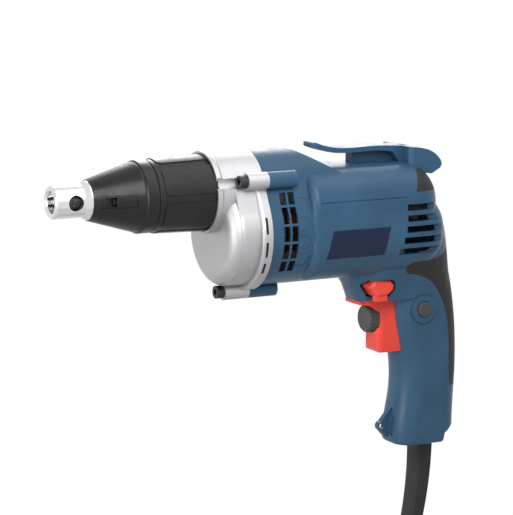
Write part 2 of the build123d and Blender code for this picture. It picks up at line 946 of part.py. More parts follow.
# Dust seal in the mouth of the nose tube
with BuildPart() as spindle_seal:
    turn(
        (
            (seal_x, spindle_radius + running_gap),
            (seal_x, seal_radius),
            (seal_x + seal_length, seal_radius),
            (seal_x + seal_length, spindle_radius + 2),
            (seal_x + 2, spindle_radius + 2),
            (seal_x + 2, spindle_radius + running_gap),
        ),
        spindle_z,
    )
spindle_seal.part.label = "spindle_seal"
export_step(spindle_seal.part, "parts/spindle_seal.step")

# Plain bush for the spindle's rear end
bush_outer = spindle_rear_radius + running_gap + bush_wall
with BuildPart() as spindle_bush:
    turn(
        (
            (plate_x, spindle_rear_radius + running_gap),
            (plate_x, bush_outer),
            (plate_x + plate_thickness, bush_outer),
            (plate_x + plate_thickness, spindle_rear_radius + running_gap),
        ),
        spindle_z,
    )
spindle_bush.part.label = "spindle_bush"
export_step(spindle_bush.part, "parts/spindle_bush.step")

# Driving gear, free on the spindle, with the driving half of the clutch on its front
gear_rear_x = gear_x + gear_face
with BuildPart() as spindle_gear:
    spur_gear(gear_x, gear_teeth, -profile_shift, spindle_z, -90 + 180 / gear_teeth)
    rod(gear_x, plate_x - moving_gap, gear_hub_radius, 0, spindle_z)
    turn(
        (
            (gear_x - 1, spindle_radius),
            (gear_x - 1, gear_web_radius),
            (gear_x + gear_recess, gear_web_radius),
            (gear_x + gear_recess, spindle_radius),
        ),
        spindle_z,
        Mode.SUBTRACT,
    )
    turn(
        (
            (gear_rear_x - gear_recess, gear_hub_radius),
            (gear_rear_x - gear_recess, gear_web_radius),
            (gear_rear_x + 1, gear_web_radius),
            (gear_rear_x + 1, gear_hub_radius),
        ),
        spindle_z,
        Mode.SUBTRACT,
    )
    with BuildSketch(Plane.YZ.offset(gear_x + gear_recess)):
        with Locations((0, spindle_z)):
            with PolarLocations((dog_inner + dog_outer) / 2, dog_count, start_angle=180 / dog_count):
                Rectangle(dog_outer - dog_inner, dog_width)
    extrude(amount=-dog_height)
    rod(gear_x - 1, plate_x, spindle_radius + running_gap, 0, spindle_z, Mode.SUBTRACT)
spindle_gear.part.label = "spindle_gear"
export_step(spindle_gear.part, "parts/spindle_gear.step")

# Spring that holds the clutch open, as a plain tube
with BuildPart() as clutch_spring:
    turn(
        (
            (clutch_rear_x + 0.2, spindle_radius + 0.6),
            (clutch_rear_x + 0.2, spindle_radius + 2.6),
            (gear_x + gear_recess - 0.2, spindle_radius + 2.6),
            (gear_x + gear_recess - 0.2, spindle_radius + 0.6),
        ),
        spindle_z,
    )
clutch_spring.part.label = "clutch_spring"
export_step(clutch_spring.part, "parts/clutch_spring.step")

# Plate that carries the spindle bush and the motor's front bearing
with BuildPart() as bearing_plate:
    twin_hull(plate_x, plate_x + plate_thickness, bay_radius - seat_gap, fan_bay_radius - seat_gap)
    rod(plate_x, plate_x + plate_thickness, bush_outer + seat_gap, 0, spindle_z, Mode.SUBTRACT)
    rod(plate_x, plate_x + plate_thickness, motor_bearing_radius + seat_gap, 0, motor_z, Mode.SUBTRACT)
bearing_plate.part.label = "bearing_plate"
export_step(bearing_plate.part, "parts/bearing_plate.step")

# Motor bearings
with BuildPart() as motor_front_bearing:
    bearing(plate_x, plate_thickness, shaft_radius + running_gap, motor_bearing_radius, motor_z)
motor_front_bearing.part.label = "motor_front_bearing"
export_step(motor_front_bearing.part, "parts/motor_front_bearing.step")
fan_x = seam_x + fan_start
stator_x = seam_x + stator_start
stator_end_x = stator_x + stator_length
commutator_x = stator_end_x + winding_overhang + 3
commutator_end_x = commutator_x + commutator_length
rear_bearing_x = commutator_end_x + 2
rear_bearing_end_x = rear_bearing_x + rear_bearing_width
with BuildPart() as motor_rear_bearing:
    rear_inner = rear_journal_radius + running_gap
    bearing(rear_bearing_x, rear_bearing_width, rear_inner, rear_bearing_radius, motor_z)
motor_rear_bearing.part.label = "motor_rear_bearing"
export_step(motor_rear_bearing.part, "parts/motor_rear_bearing.step")

# Armature shaft with the pinion cut on its front end
with BuildPart() as armature_shaft:
    spur_gear(gear_x, pinion_teeth, profile_shift, motor_z, 90)
    turn(
        (
            (gear_rear_x - 1, 0),
            (gear_rear_x - 1, pinion_neck_radius),
            (gear_rear_x + 0.5, pinion_neck_radius),
            (gear_rear_x + 0.5, shaft_radius),
            (rear_bearing_x - moving_gap, shaft_radius),
            (rear_bearing_x - moving_gap, rear_journal_radius),
            (rear_bearing_end_x, rear_journal_radius),
            (rear_bearing_end_x, 0),
        ),
        motor_z,
    )
armature_shaft.part.label = "armature_shaft"
export_step(armature_shaft.part, "parts/armature_shaft.step")

# Slotted armature core
shaft_seat = shaft_radius + seat_gap
with BuildPart() as armature_core:
    with BuildSketch(Plane.YZ.offset(stator_x)):
        with Locations((0, motor_z)):
            Circle(core_radius)
            Circle(shaft_seat, mode=Mode.SUBTRACT)
            with PolarLocations(core_radius - 2, core_slots):
                Rectangle(5, 1.6, mode=Mode.SUBTRACT)
    extrude(amount=stator_length)
armature_core.part.label = "armature_core"
export_step(armature_core.part, "parts/armature_core.step")

# End windings of the armature
with BuildPart() as armature_windings:
    for start, way in ((stator_x, -1), (stator_end_x, 1)):
        turn(
            (
                (start, shaft_seat),
                (start, core_radius - 1.4),
                (start + way * 0.7 * winding_overhang, core_radius - 2.4),
                (start + way * winding_overhang, core_radius - 6),
                (start + way * winding_overhang, shaft_seat),
            ),
            motor_z,
        )
armature_windings.part.label = "armature_windings"
export_step(armature_windings.part, "parts/armature_windings.step")

# Commutator
with BuildPart() as commutator:
    with BuildSketch(Plane.YZ.offset(commutator_x)):
        with Locations((0, motor_z)):
            Circle(commutator_radius)
            Circle(shaft_seat, mode=Mode.SUBTRACT)
            with PolarLocations(commutator_radius, commutator_bars):
                Rectangle(2, 0.6, mode=Mode.SUBTRACT)
    extrude(amount=commutator_length)
commutator.part.label = "commutator"
export_step(commutator.part, "parts/commutator.step")

# Cooling fan
with BuildPart() as fan:
    turn(
        (
            (fan_x, shaft_seat),
            (fan_x, fan_hub_radius),
            (fan_x + fan_width - 2, fan_hub_radius),
            (fan_x + fan_width - 2, fan_radius),
            (fan_x + fan_width, fan_radius),
            (fan_x + fan_width, shaft_seat),
        ),
        motor_z,
    )
    with BuildSketch(Plane.YZ.offset(fan_x)):
        with Locations((0, motor_z)):
            with PolarLocations((fan_radius + fan_hub_radius) / 2 - 1, fan_blades):
                Rectangle(fan_radius - fan_hub_radius, fan_blade)
    extrude(amount=fan_width - 1)
fan.part.label = "fan"
export_step(fan.part, "parts/fan.step")

# Stator core with two poles, and the field coils in its side windows
pole_bore = core_radius + air_gap
with BuildPart() as stator_core:
    with BuildSketch(Plane.YZ.offset(stator_x)):
        with Locations((0, motor_z)):
            Circle(stator_radius)
    extrude(amount=stator_length)
    with BuildSketch(Plane.YZ.offset(stator_x)):
        with Locations((0, motor_z)):
            Circle(stator_radius - stator_ring)
            Rectangle(2 * stator_radius, stator_window, mode=Mode.INTERSECT)
            Circle(pole_bore)
    extrude(amount=stator_length, mode=Mode.SUBTRACT)
stator_core.part.label = "stator_core"
export_step(stator_core.part, "parts/stator_core.step")
with BuildPart() as field_coils:
    with BuildSketch(Plane.YZ.offset(stator_x - coil_overhang)):
        with Locations((0, motor_z)):
            Circle(stator_radius - stator_ring - moving_gap)
            Rectangle(2 * stator_radius, stator_window - 2 * moving_gap, mode=Mode.INTERSECT)
            Circle(pole_bore + air_gap, mode=Mode.SUBTRACT)
    extrude(amount=stator_length + 2 * coil_overhang)
field_coils.part.label = "field_coils"
export_step(field_coils.part, "parts/field_coils.step")

# Brushes with their holders and springs on both sides of the commutator
brush_x = commutator_x + commutator_length / 2
brush_tip_y = commutator_radius + moving_gap
brush_end_y = brush_tip_y + brush_length
holder_outer_y = body_width / 2 - wall - moving_gap
with BuildPart() as brush_holders:
    for side in (-1, 1):
        with Locations((brush_x, side * (brush_tip_y + 2 + holder_outer_y) / 2, motor_z)):
            length = holder_outer_y - brush_tip_y - 2
            Box(brush_depth + 2.4, length, brush_width + 2.4)
            Box(brush_depth + 2 * seat_gap, length, brush_width + 2 * seat_gap, mode=Mode.SUBTRACT)
brush_holders.part.label = "brush_holders"
export_step(brush_holders.part, "parts/brush_holders.step")
with BuildPart() as carbon_brushes:
    for side in (-1, 1):
        with Locations((brush_x, side * (brush_tip_y + brush_end_y) / 2, motor_z)):
            Box(brush_depth, brush_length, brush_width)
carbon_brushes.part.label = "carbon_brushes"
export_step(carbon_brushes.part, "parts/carbon_brushes.step")
with BuildPart() as brush_springs:
    for side in (-1, 1):
        near_y = side * brush_end_y
        far_y = side * holder_outer_y
        cross_rod(brush_x, motor_z, near_y, far_y, brush_width / 2 - 0.4)
        cross_rod(brush_x, motor_z, near_y, far_y, brush_width / 2 - 1.2, Mode.SUBTRACT)
brush_springs.part.label = "brush_springs"
export_step(brush_springs.part, "parts/brush_springs.step")

# Side region of the rubber inlay, less everything deeper than the inlay
with BuildPart() as inlay_field:
    with BuildSketch(Plane.XZ):
        with BuildLine():
            Polyline(
                (rubber_far_x, rubber_top_z),
                (rubber_window_top_x, rubber_top_z),
                (rubber_window_x, rubber_window_z),
                (1.5, rubber_window_z),
                rubber_crest[0],
            )
            Spline(*rubber_crest)
            ThreePointArc(rubber_crest[-1], rubber_lobe, rubber_flank[0])
            Spline(*rubber_flank)
            Polyline(
                rubber_flank[-1],
                (rubber_far_x, rubber_bottom_z),
                (rubber_far_x, rubber_top_z),
            )
        make_face()
    extrude(amount=body_width, both=True)
    add(inlay_form, mode=Mode.SUBTRACT)
    with BuildSketch(Plane.XY.offset(body_top_z - clip_screw_depth - 1)):
        with Locations((clip_screw_x, 0)):
            Circle(clip_screw_radius + moving_gap)
    extrude(amount=clip_screw_depth + 5, mode=Mode.SUBTRACT)

# Rubber inlay on the back of the grip
with BuildPart() as soft_grip:
    add(outer_form)
    add(inlay_field.part, mode=Mode.INTERSECT)
soft_grip.part.label = "soft_grip"
export_step(soft_grip.part, "parts/soft_grip.step")

# Hollow inside the clamshells, less their ribs, shelves and screw bosses
grip_inner_x = grip_levels[2][1] + wall
with BuildPart() as cavity:
    add(inner_form)
    block(
        (flare_levels[3][1], -body_width, neck_bottom_z),
        (grip_inner_x, body_width, neck_bottom_z + wall),
        Mode.SUBTRACT,
    )
    block(
        (grip_levels[-1][1], -body_width, foot_bottom_z),
        (heel_x, body_width, cavity_floor_z),
        Mode.SUBTRACT,
    )
    block(
        (cavity_heel_x, -body_width, foot_bottom_z),
        (heel_x, body_width, cavity_heel_z),
        Mode.SUBTRACT,
    )
    stator_ribs = (stator_x + 5, stator_end_x - 5 - rib_thickness)
    for rib_x in stator_ribs:
        block(
            (rib_x, -body_width, body_bottom_z),
            (rib_x + rib_thickness, body_width, spindle_z + lobe_radius),
            Mode.SUBTRACT,
        )
    for rib_x in stator_ribs:
        rod(rib_x, rib_x + rib_thickness, stator_radius + seat_gap, 0, motor_z)
    seat_low = (rear_bearing_x, -body_width, motor_z - rear_seat_height / 2)
    seat_high = (rear_bearing_end_x, body_width, motor_z + rear_seat_height / 2)
    block(seat_low, seat_high, Mode.SUBTRACT)
    rod(rear_bearing_x, rear_bearing_end_x, rear_bearing_radius + seat_gap, 0, motor_z)
    block(
        (grip_inner_x - wall, -body_width, switch_bottom_z - shelf_thickness - seat_gap),
        (switch_rear_x + 20, body_width, switch_bottom_z - seat_gap),
        Mode.SUBTRACT,
    )
    block(
        (switch_rear_x - 12, -wire_hole / 2, switch_bottom_z - shelf_thickness - seat_gap),
        (switch_rear_x, wire_hole / 2, switch_bottom_z - seat_gap),
    )
    for x, z, seat in shell_screws:
        cross_rod(x, z, -body_width, body_width, shell_boss_radius, Mode.SUBTRACT)
    for side in (-1, 1):
        bolt_x = boot_x + side * clamp_bolt_reach
        cross_rod(bolt_x, clamp_z, -body_width, 0, clamp_boss_radius, Mode.SUBTRACT)

# Shallow fields round the front air vents
with BuildPart() as vent_fields:
    for rise in vent_field_rises:
        with BuildSketch(Plane.XZ):
            with Locations((sum(vent_field_x) / 2, spindle_z + rise)):
                RectangleRounded(vent_field_x[1] - vent_field_x[0], vent_field_height, vent_field_corner)
        extrude(amount=body_width, both=True)
    add(barrel_form(vent_field_depth), mode=Mode.SUBTRACT)

# Both clamshells in one piece, with all that is cut through their walls, before they are parted
trigger_half = trigger_width / 2 + trigger_gap
lock_skin_y = -grip_levels[2][3] / 2 + 0.2
opening_rear_x = grip_levels[3][1] + wall + 3.1
grip_sole = outer_form.faces().sort_by(Axis.Z)[0]
with BuildPart() as foot:
    extrude(grip_sole, amount=grip_levels[-1][0] - foot_bottom_z)
    fillet(foot.faces().sort_by(Axis.Z)[0].edges(), foot_round)
with BuildPart() as openings:
    bay_radius = barrel_radius - vent_wall
    bay_half = vent_column_pitch + 1
    rod(vent_x - bay_half, vent_x + bay_half, bay_radius, 0, motor_z)
    for rise, span in vent_spans:
        with Locations((vent_x, 0, spindle_z + rise)):
            with GridLocations(vent_column_pitch, 2 * barrel_radius, 2, 2):
                Box(vent_column, vent_reach, span)
    for row, front_x in enumerate(rear_vent_fronts):
        vent_z = spindle_z - rear_vent_drop - row * rear_vent_pitch
        for side in (-1, 1):
            slot_y = (side * rear_vent_inner_y, side * body_width)
            block(
                (front_x, min(slot_y), vent_z - rear_vent_height / 2),
                (bulge_rear_x + 1, max(slot_y), vent_z + rear_vent_height / 2),
            )
    for side in (-1, 1):
        line_y = (side * side_line_y, side * body_width)
        block(
            (side_line_x[0], min(line_y), side_line_z - side_line_width / 2),
            (side_line_x[1], max(line_y), side_line_z + side_line_width / 2),
        )
    for y, rise, head in case_screw_places:
        hole_end_x = case_front_x + head + case_screw_length + 1
        rod(seam_x - 1, hole_end_x, case_screw_radius + seat_gap, y, motor_z + rise)
    cross_rod(eye_x, eye_z, -eye_width, eye_width, eye_bore)
    block(
        (trigger_front_x, -trigger_half, trigger_bottom_z - trigger_gap),
        (opening_rear_x, trigger_half, neck_bottom_z),
    )
    slab(lever_slot, body_width)
    for side in (-1, 1):
        notch_y = (side * neck_floor_half, side * body_width)
        block(
            (lever_notch_x[0], min(notch_y), neck_bottom_z - 1),
            (lever_notch_x[1], max(notch_y), lever_bottom_z),
        )
    cross_rod(lock_x, lock_z, -body_width, lock_skin_y + 2 * wall, lock_radius + moving_gap)
    for x, z, seat in shell_screws:
        cross_rod(x, z, -shell_screw_inset - 0.5, seat + 1, shell_screw_radius + seat_gap)
        cross_rod(x, z, seat, body_width, shell_head_radius + moving_gap)
    with BuildSketch(Plane.XY.offset(foot_bottom_z - 1)):
        with Locations((boot_x, 0)):
            RectangleRounded(boot_top[0] + 0.4, boot_top[1] + 0.4, boot_corner)
    extrude(amount=boot_shoulder + 1)
    with BuildSketch(Plane.XY.offset(foot_bottom_z + boot_shoulder)):
        with Locations((boot_x, 0)):
            RectangleRounded(boot_top[0] + 4.4, boot_top[1] + 4.4, boot_corner)
    extrude(amount=boot_flange + 0.4)
    with BuildSketch(Plane.XY.offset(foot_bottom_z + boot_shoulder)):
        with Locations((boot_x, 0)):
            Circle(boot_neck_radius + 0.2)
    extrude(amount=cavity_floor_z - foot_bottom_z - boot_shoulder + 1)
    for side in (-1, 1):
        bolt_x = boot_x + side * clamp_bolt_reach
        bolt_end_y = -clamp_screw_reach - 0.5
        cross_rod(bolt_x, clamp_z, bolt_end_y, 1, clamp_screw_radius + seat_gap)
    with BuildSketch(Plane.XY.offset(body_top_z - clip_screw_depth - 1)):
        with Locations((clip_screw_x, 0)):
            Circle(clip_screw_radius + seat_gap)
    extrude(amount=clip_screw_depth + 5)
with BuildPart() as shell:
    add(outer_form)
    add(foot.part)
    slab(
        (
            (heel_x, heel_z),
            (collar_rear_x, collar_top_z),
            (collar_rear_x - 0.8, foot_bottom_z + foot_round),
            (collar_foot_x, foot_bottom_z - 1),
            (2 * heel_x, foot_bottom_z - 1),
            (2 * heel_x, heel_z),
        ),
        body_width,
        Mode.SUBTRACT,
    )
    cross_rod(eye_x, eye_z, -eye_width / 2, eye_width / 2, eye_radius)
    slab(
        (
            (eye_x + 10.0, eye_z + 15.5),
            (eye_x - 0.8, eye_z + 3.1),
            (eye_x - 2.2, eye_z - 2.3),
            (eye_x + 2.0, eye_z - 7.0),
            (eye_x + 12.0, eye_z - 9.0),
        ),
        eye_width / 2,
    )
    slab(
        (
            (eye_x + 10.0, eye_z + 12.5),
            (eye_x + 4.4, eye_z + 4.6),
            (eye_x + 3.6, eye_z - 3.0),
            (eye_x + 5.4, eye_z - 7.4),
            (eye_x + 12.0, eye_z - 9.0),
        ),
        eye_root_width / 2,
    )
    for y, rise, head in case_screw_places:
        rod(seam_x, seam_x + case_boss_reach, case_boss_radius, y, motor_z + rise)
    cross_rod(lock_x, lock_z, lock_skin_y - lock_ring_rise, lock_skin_y + wall, lock_ring_radius)
    add(cavity.part, mode=Mode.SUBTRACT)
    add(inlay_field.part, mode=Mode.SUBTRACT)
    add(vent_fields.part, mode=Mode.SUBTRACT)
    add(openings.part, mode=Mode.SUBTRACT)
with BuildPart() as housing_left:
    add(shell.part)
    split(bisect_by=Plane.XZ, keep=Keep.TOP)
housing_left.part.label = "housing_left"
export_step(housing_left.part, "parts/housing_left.step")
with BuildPart() as housing_right:
    add(shell.part)
    split(bisect_by=Plane.XZ, keep=Keep.BOTTOM)
housing_right.part.label = "housing_right"
export_step(housing_right.part, "parts/housing_right.step")

# Belt clip: side profile within the plan outline, resting on the body
with BuildPart() as belt_clip:
    with BuildSketch(Plane.XZ):
        with BuildLine():
            Spline(*clip_top)
            Polyline(*clip_root)
            Spline(*clip_underside)
            ThreePointArc(clip_underside[-1], clip_tip, clip_top[0])
        make_face()
    extrude(amount=clip_root_half_width, both=True)
    with BuildSketch(Plane.XY.offset(body_top_z - 20)):
        with Locations(((clip_root_x + clip_top[-1][0]) / 2 + 1, 0)):
            RectangleRounded(clip_top[-1][0] - clip_root_x + 4, 2 * clip_root_half_width, 4)
        with Locations(((clip_tip[0] + clip_root_x) / 2 + 4, 0)):
            RectangleRounded(clip_root_x - clip_tip[0] + 10, 2 * clip_half_width, 5)
    extrude(amount=40, mode=Mode.INTERSECT)
    block((clip_web_x[0], 0, body_top_z - 1), (clip_web_x[1], clip_half_width, clip_web_top_z))
    add(outer_form, mode=Mode.SUBTRACT)
    for slot_x in clip_slots:
        with Locations((slot_x, 0, body_top_z + 7)):
            Box(clip_slot_width, clip_root_half_width, 4, mode=Mode.SUBTRACT)
    with BuildSketch(Plane.XY.offset(body_top_z - clip_screw_depth)):
        with Locations((clip_screw_x, 0)):
            Circle(clip_screw_radius + seat_gap)
    extrude(amount=clip_screw_depth + 20, mode=Mode.SUBTRACT)
    clip_seat_z = body_top_z + 5
    with BuildSketch(Plane.XY.offset(clip_seat_z)):
        with Locations((clip_screw_x, 0)):
            Circle(clip_screw_head_radius + moving_gap)
    extrude(amount=20, mode=Mode.SUBTRACT)
belt_clip.part.label = "belt_clip"
export_step(belt_clip.part, "parts/belt_clip.step")
with BuildPart() as belt_clip_screw:
    with BuildSketch(Plane.XY.offset(clip_seat_z)):
        with Locations((clip_screw_x, 0)):
            Circle(clip_screw_head_radius)
            RegularPolygon(clip_screw_head_radius / 2, 6, mode=Mode.SUBTRACT)
    extrude(amount=clip_screw_head)
    with BuildSketch(Plane.XY.offset(body_top_z - clip_screw_depth)):
        with Locations((clip_screw_x, 0)):
            Circle(clip_screw_radius)
    extrude(amount=clip_screw_depth + clip_seat_z - body_top_z + 0.6)
belt_clip_screw.part.label = "belt_clip_screw"
export_step(belt_clip_screw.part, "parts/belt_clip_screw.step")

# Trigger with a notch for the dial, a stop flange inside the grip and a plunger
trigger_top_z = neck_bottom_z - moving_gap - 0.1
dial_rear_x = dial_front_x + dial_width
flange_x = trigger_rear_x - trigger_flange
with BuildPart() as trigger:
    slab(
        (
            (trigger_ledge_x, trigger_top_z),
            (trigger_ledge_x, trigger_top_z - trigger_ledge + 0.6),
            (trigger_front_x - 5.5, trigger_top_z - trigger_ledge - 0.6),
            (trigger_front_x, dial_z + 6),
            (trigger_front_x, trigger_bottom_z + 3),
            (trigger_front_x + 2, trigger_bottom_z),
            (trigger_rear_x, trigger_bottom_z),
            (trigger_rear_x, trigger_top_z),
        ),
        trigger_width / 2,
    )
    fillet(trigger.edges().filter_by(Axis.Z).group_by(Axis.X)[1], trigger_round)
    block(
        (flange_x, -trigger_half - trigger_catch, trigger_bottom_z),
        (trigger_rear_x, trigger_half + trigger_catch, trigger_top_z),
    )
    rod(trigger_rear_x, trigger_rear_x + plunger_length, plunger_radius, 0, plunger_z)
    rod(dial_front_x - 20, dial_rear_x + moving_gap, dial_radius + 0.4, 0, dial_z, Mode.SUBTRACT)
    pin_end_x = dial_rear_x + dial_pin_length
    rod(dial_rear_x, pin_end_x + moving_gap, dial_pin_radius + running_gap, 0, dial_z, Mode.SUBTRACT)
trigger.part.label = "trigger"
export_step(trigger.part, "parts/trigger.step")
with BuildPart() as speed_dial:
    with BuildSketch(Plane.YZ.offset(dial_front_x)):
        with Locations((0, dial_z)):
            Circle(dial_radius)
            with PolarLocations(dial_radius + 0.3, dial_flutes):
                Circle(0.9, mode=Mode.SUBTRACT)
    extrude(amount=dial_width)
    turn(
        (
            (dial_front_x, 0),
            (dial_front_x, dial_radius - 1.2),
            (dial_front_x + 1.2, dial_radius),
            (dial_rear_x, dial_radius),
            (dial_rear_x, 0),
        ),
        dial_z,
        Mode.INTERSECT,
    )
    rod(dial_rear_x, pin_end_x, dial_pin_radius, 0, dial_z)
speed_dial.part.label = "speed_dial"
export_step(speed_dial.part, "parts/speed_dial.step")

# Reversing lever across the neck, turning on a pin of the switch, first in its middle place
with BuildPart() as lever_middle:
    with BuildSketch(Plane.XY.offset(lever_bottom_z)):
        with Locations((lever_pivot_x, 0)):
            Circle(lever_arm / 2 - 0.5)
        with Locations(((lever_bar_x[1] + lever_pivot_x) / 2 - 2, 0)):
            Rectangle(lever_pivot_x - lever_bar_x[1] + 4, lever_arm - 1)
        with Locations((sum(lever_bar_x) / 2, 0)):
            Rectangle(lever_bar_x[1] - lever_bar_x[0], 2 * paddle_inner_y + 2)
        with Locations((lever_pivot_x, 0)):
            Circle(lever_pin_radius + running_gap, mode=Mode.SUBTRACT)
    extrude(amount=lever_height)
    slab(paddle_profile, lever_half_width)
    chamfer(lever_middle.faces().sort_by(Axis.Y)[0].edges(), paddle_chamfer)
    chamfer(lever_middle.faces().sort_by(Axis.Y)[-1].edges(), paddle_chamfer)
    for side in (-1, 1):
        lug_y = (side * lug_inner_y, side * lug_outer_y)
        block(
            (lug_x[0], min(lug_y), lug_bottom_z),
            (lug_x[1], max(lug_y), lever_bottom_z + 1),
        )
with BuildPart() as reversing_lever:
    add(lever_middle.part.rotate(Axis((lever_pivot_x, 0, 0), (0, 0, 1)), lever_swing))
reversing_lever.part.label = "reversing_lever"
export_step(reversing_lever.part, "parts/reversing_lever.step")

# Lock button on the left, with a flange inside the grip wall
lock_inner_y = -trigger_half - trigger_catch - lock_travel - moving_gap
with BuildPart() as lock_button:
    cross_rod(lock_x, lock_z, lock_skin_y - lock_ring_rise - lock_stand, lock_inner_y, lock_radius)
    cross_rod(lock_x, lock_z, lock_inner_y - lock_catch_length, lock_inner_y, lock_radius + lock_catch)
    fillet(lock_button.faces().sort_by(Axis.Y)[0].edges(), 0.8)
lock_button.part.label = "lock_button"
export_step(lock_button.part, "parts/lock_button.step")

# Switch on its shelf, with the lever's tongue and pin
tongue_top_z = lever_bottom_z - moving_gap - 0.2
with BuildPart() as switch_body:
    block(
        (switch_front_x, -switch_half_width, switch_bottom_z),
        (switch_rear_x, switch_half_width, switch_top_z),
    )
    fillet(switch_body.edges().filter_by(Axis.Z), 1.5)
    block(
        (lever_pivot_x - 3.5, -tongue_half_width, tongue_top_z - tongue_height),
        (switch_front_x + 1, tongue_half_width, tongue_top_z),
    )
    with BuildSketch(Plane.XY.offset(tongue_top_z)):
        with Locations((lever_pivot_x, 0)):
            Circle(lever_pin_radius)
    extrude(amount=lever_height + 1.5)
    plunger_stop_x = trigger_rear_x + plunger_length + trigger_travel + 1
    rod(switch_front_x, plunger_stop_x, plunger_radius + moving_gap, 0, plunger_z, Mode.SUBTRACT)
switch_body.part.label = "switch_body"
export_step(switch_body.part, "parts/switch_body.step")

# Clamshell screws
with BuildPart() as housing_screws:
    for x, z, seat in shell_screws:
        cross_rod(x, z, -shell_screw_inset, seat, shell_screw_radius)
        cross_rod(x, z, seat, seat + shell_head_length, shell_head_radius)
        with BuildSketch(Plane.XZ.offset(-seat - shell_head_length)):
            with Locations((x, z)):
                RegularPolygon(shell_head_radius / 2, 6)
        extrude(amount=shell_head_length / 2, mode=Mode.SUBTRACT)
housing_screws.part.label = "housing_screws"
export_step(housing_screws.part, "parts/housing_screws.step")

# Cord clamp and its screws inside the foot
with BuildPart() as cord_clamp:
    block(
        (boot_x - clamp_bolt_reach - clamp_boss_radius, 0, clamp_z - clamp_height / 2),
        (boot_x + clamp_bolt_reach + clamp_boss_radius, clamp_depth, clamp_z + clamp_height / 2),
    )
    with BuildSketch(Plane.XY.offset(clamp_z - clamp_height)):
        with Locations((boot_x, 0)):
            Circle(boot_neck_radius + seat_gap)
    extrude(amount=2 * clamp_height, mode=Mode.SUBTRACT)
    for side in (-1, 1):
        bolt_x = boot_x + side * clamp_bolt_reach
        cross_rod(bolt_x, clamp_z, 0, clamp_depth, clamp_screw_radius + seat_gap, Mode.SUBTRACT)
cord_clamp.part.label = "cord_clamp"
export_step(cord_clamp.part, "parts/cord_clamp.step")
with BuildPart() as cord_clamp_screws:
    for side in (-1, 1):
        bolt_x = boot_x + side * clamp_bolt_reach
        cross_rod(bolt_x, clamp_z, -clamp_screw_reach, clamp_depth, clamp_screw_radius)
        cross_rod(bolt_x, clamp_z, clamp_depth, clamp_depth + 2, 2 * clamp_screw_radius)
cord_clamp_screws.part.label = "cord_clamp_screws"
export_step(cord_clamp_screws.part, "parts/cord_clamp_screws.step")

# Cord boot: tapered sleeve that bends forward below the foot, with a neck and a flange inside
boot_turn = boot_length / boot_bend
with BuildPart() as cord_boot:
    for step in range(4):
        share = step / 3
        lean = boot_turn * share
        spot = (boot_x - boot_bend * (1 - math.cos(lean)), 0, foot_bottom_z - boot_bend * math.sin(lean))
        across = (math.cos(lean), 0, -math.sin(lean))
        onward = (-math.sin(lean), 0, -math.cos(lean))
        with BuildSketch(Plane(origin=spot, x_dir=across, z_dir=onward)):
            wide = boot_top[0] + (boot_end[0] - boot_top[0]) * share
            deep = boot_top[1] + (boot_end[1] - boot_top[1]) * share
            RectangleRounded(wide, deep, boot_corner)
    loft()
    with BuildSketch(Plane.XY.offset(foot_bottom_z)):
        with Locations((boot_x, 0)):
            RectangleRounded(boot_top[0], boot_top[1], boot_corner)
    extrude(amount=boot_shoulder)
    with BuildSketch(Plane.XY.offset(foot_bottom_z + boot_shoulder)):
        with Locations((boot_x, 0)):
            RectangleRounded(boot_top[0] + 4, boot_top[1] + 4, boot_corner)
    extrude(amount=boot_flange)
    with BuildSketch(Plane.XY.offset(foot_bottom_z)):
        with Locations((boot_x, 0)):
            Circle(boot_neck_radius)
    extrude(amount=clamp_z + clamp_height / 2 + 1.5 - foot_bottom_z)
cord_boot.part.label = "cord_boot"
export_step(cord_boot.part, "parts/cord_boot.step")


def biarc(start, leaving, end, arriving):
    """Two tangent arcs from start to end with the given unit directions."""
    span = end - start
    square = 2 * (leaving.dot(arriving) - 1)
    linear = -2 * span.dot(leaving + arriving)
    constant = span.dot(span)
    if abs(square) < 1e-9:
        reach = -constant / linear
    else:
        reach = (-linear - math.sqrt(linear * linear - 4 * square * constant)) / (2 * square)
    first = start + leaving * reach
    second = end - arriving * reach
    joint = (first + second) / 2
    TangentArc(start, joint, tangent=leaving)
    TangentArc(joint, end, tangent=second - first)


def tube_volume(length):
    """Volume of a round cord of that length."""
    return math.pi * cord_radius**2 * length


# Free cord below the boot
lead_start = Vector(spot)
lead_knee = lead_start + Vector(onward) * lead_run
lead_end = lead_knee - Vector(0, 0, lead_run)
lead_radius = 0.45 * lead_run / math.tan(boot_turn / 2)
with BuildPart() as cord_lead:
    with BuildLine() as lead_path:
        FilletPolyline(lead_start, lead_knee, lead_end, radius=lead_radius)
    with BuildSketch(Plane(origin=lead_start, z_dir=Vector(onward))):
        Circle(cord_radius)
    sweep()
cord_lead.part.label = "cord_lead"
export_step(cord_lead.part, "parts/cord_lead.step")
lead_length = lead_path.wire().length
lead_share = cord_lead.part.volume / tube_volume(lead_length)
print("cord lead radius", round(lead_radius, 1), "volume share", round(lead_share, 4))

# Put-away cord: flat spirals laid side by side, each climbing to the next where it turns back
coil_outer = coil_inner + coil_pitch * turns_per_layer
coil_start = lead_end - Vector(0, 0, 2 * cord_radius)
coil_middle_x = coil_start.X - coil_outer
coil_turns = coil_layers * turns_per_layer


def coil_place(turns):
    """Point of the cord's middle line after that many turns."""
    phase = turns % (2 * turns_per_layer)
    radius = coil_inner + coil_pitch * abs(phase - turns_per_layer)
    layer = round(turns / turns_per_layer)
    climb = min(1, max(-1, (turns - layer * turns_per_layer) / 0.25))
    if layer in (0, coil_layers):
        step = 0 if layer == 0 else coil_layers - 1
    else:
        step = layer - 0.5 + climb / 2
    angle = 2 * math.pi * turns
    across = coil_middle_x + radius * math.cos(angle)
    return Vector(across, coil_pitch * step, coil_start.Z - radius * math.sin(angle))


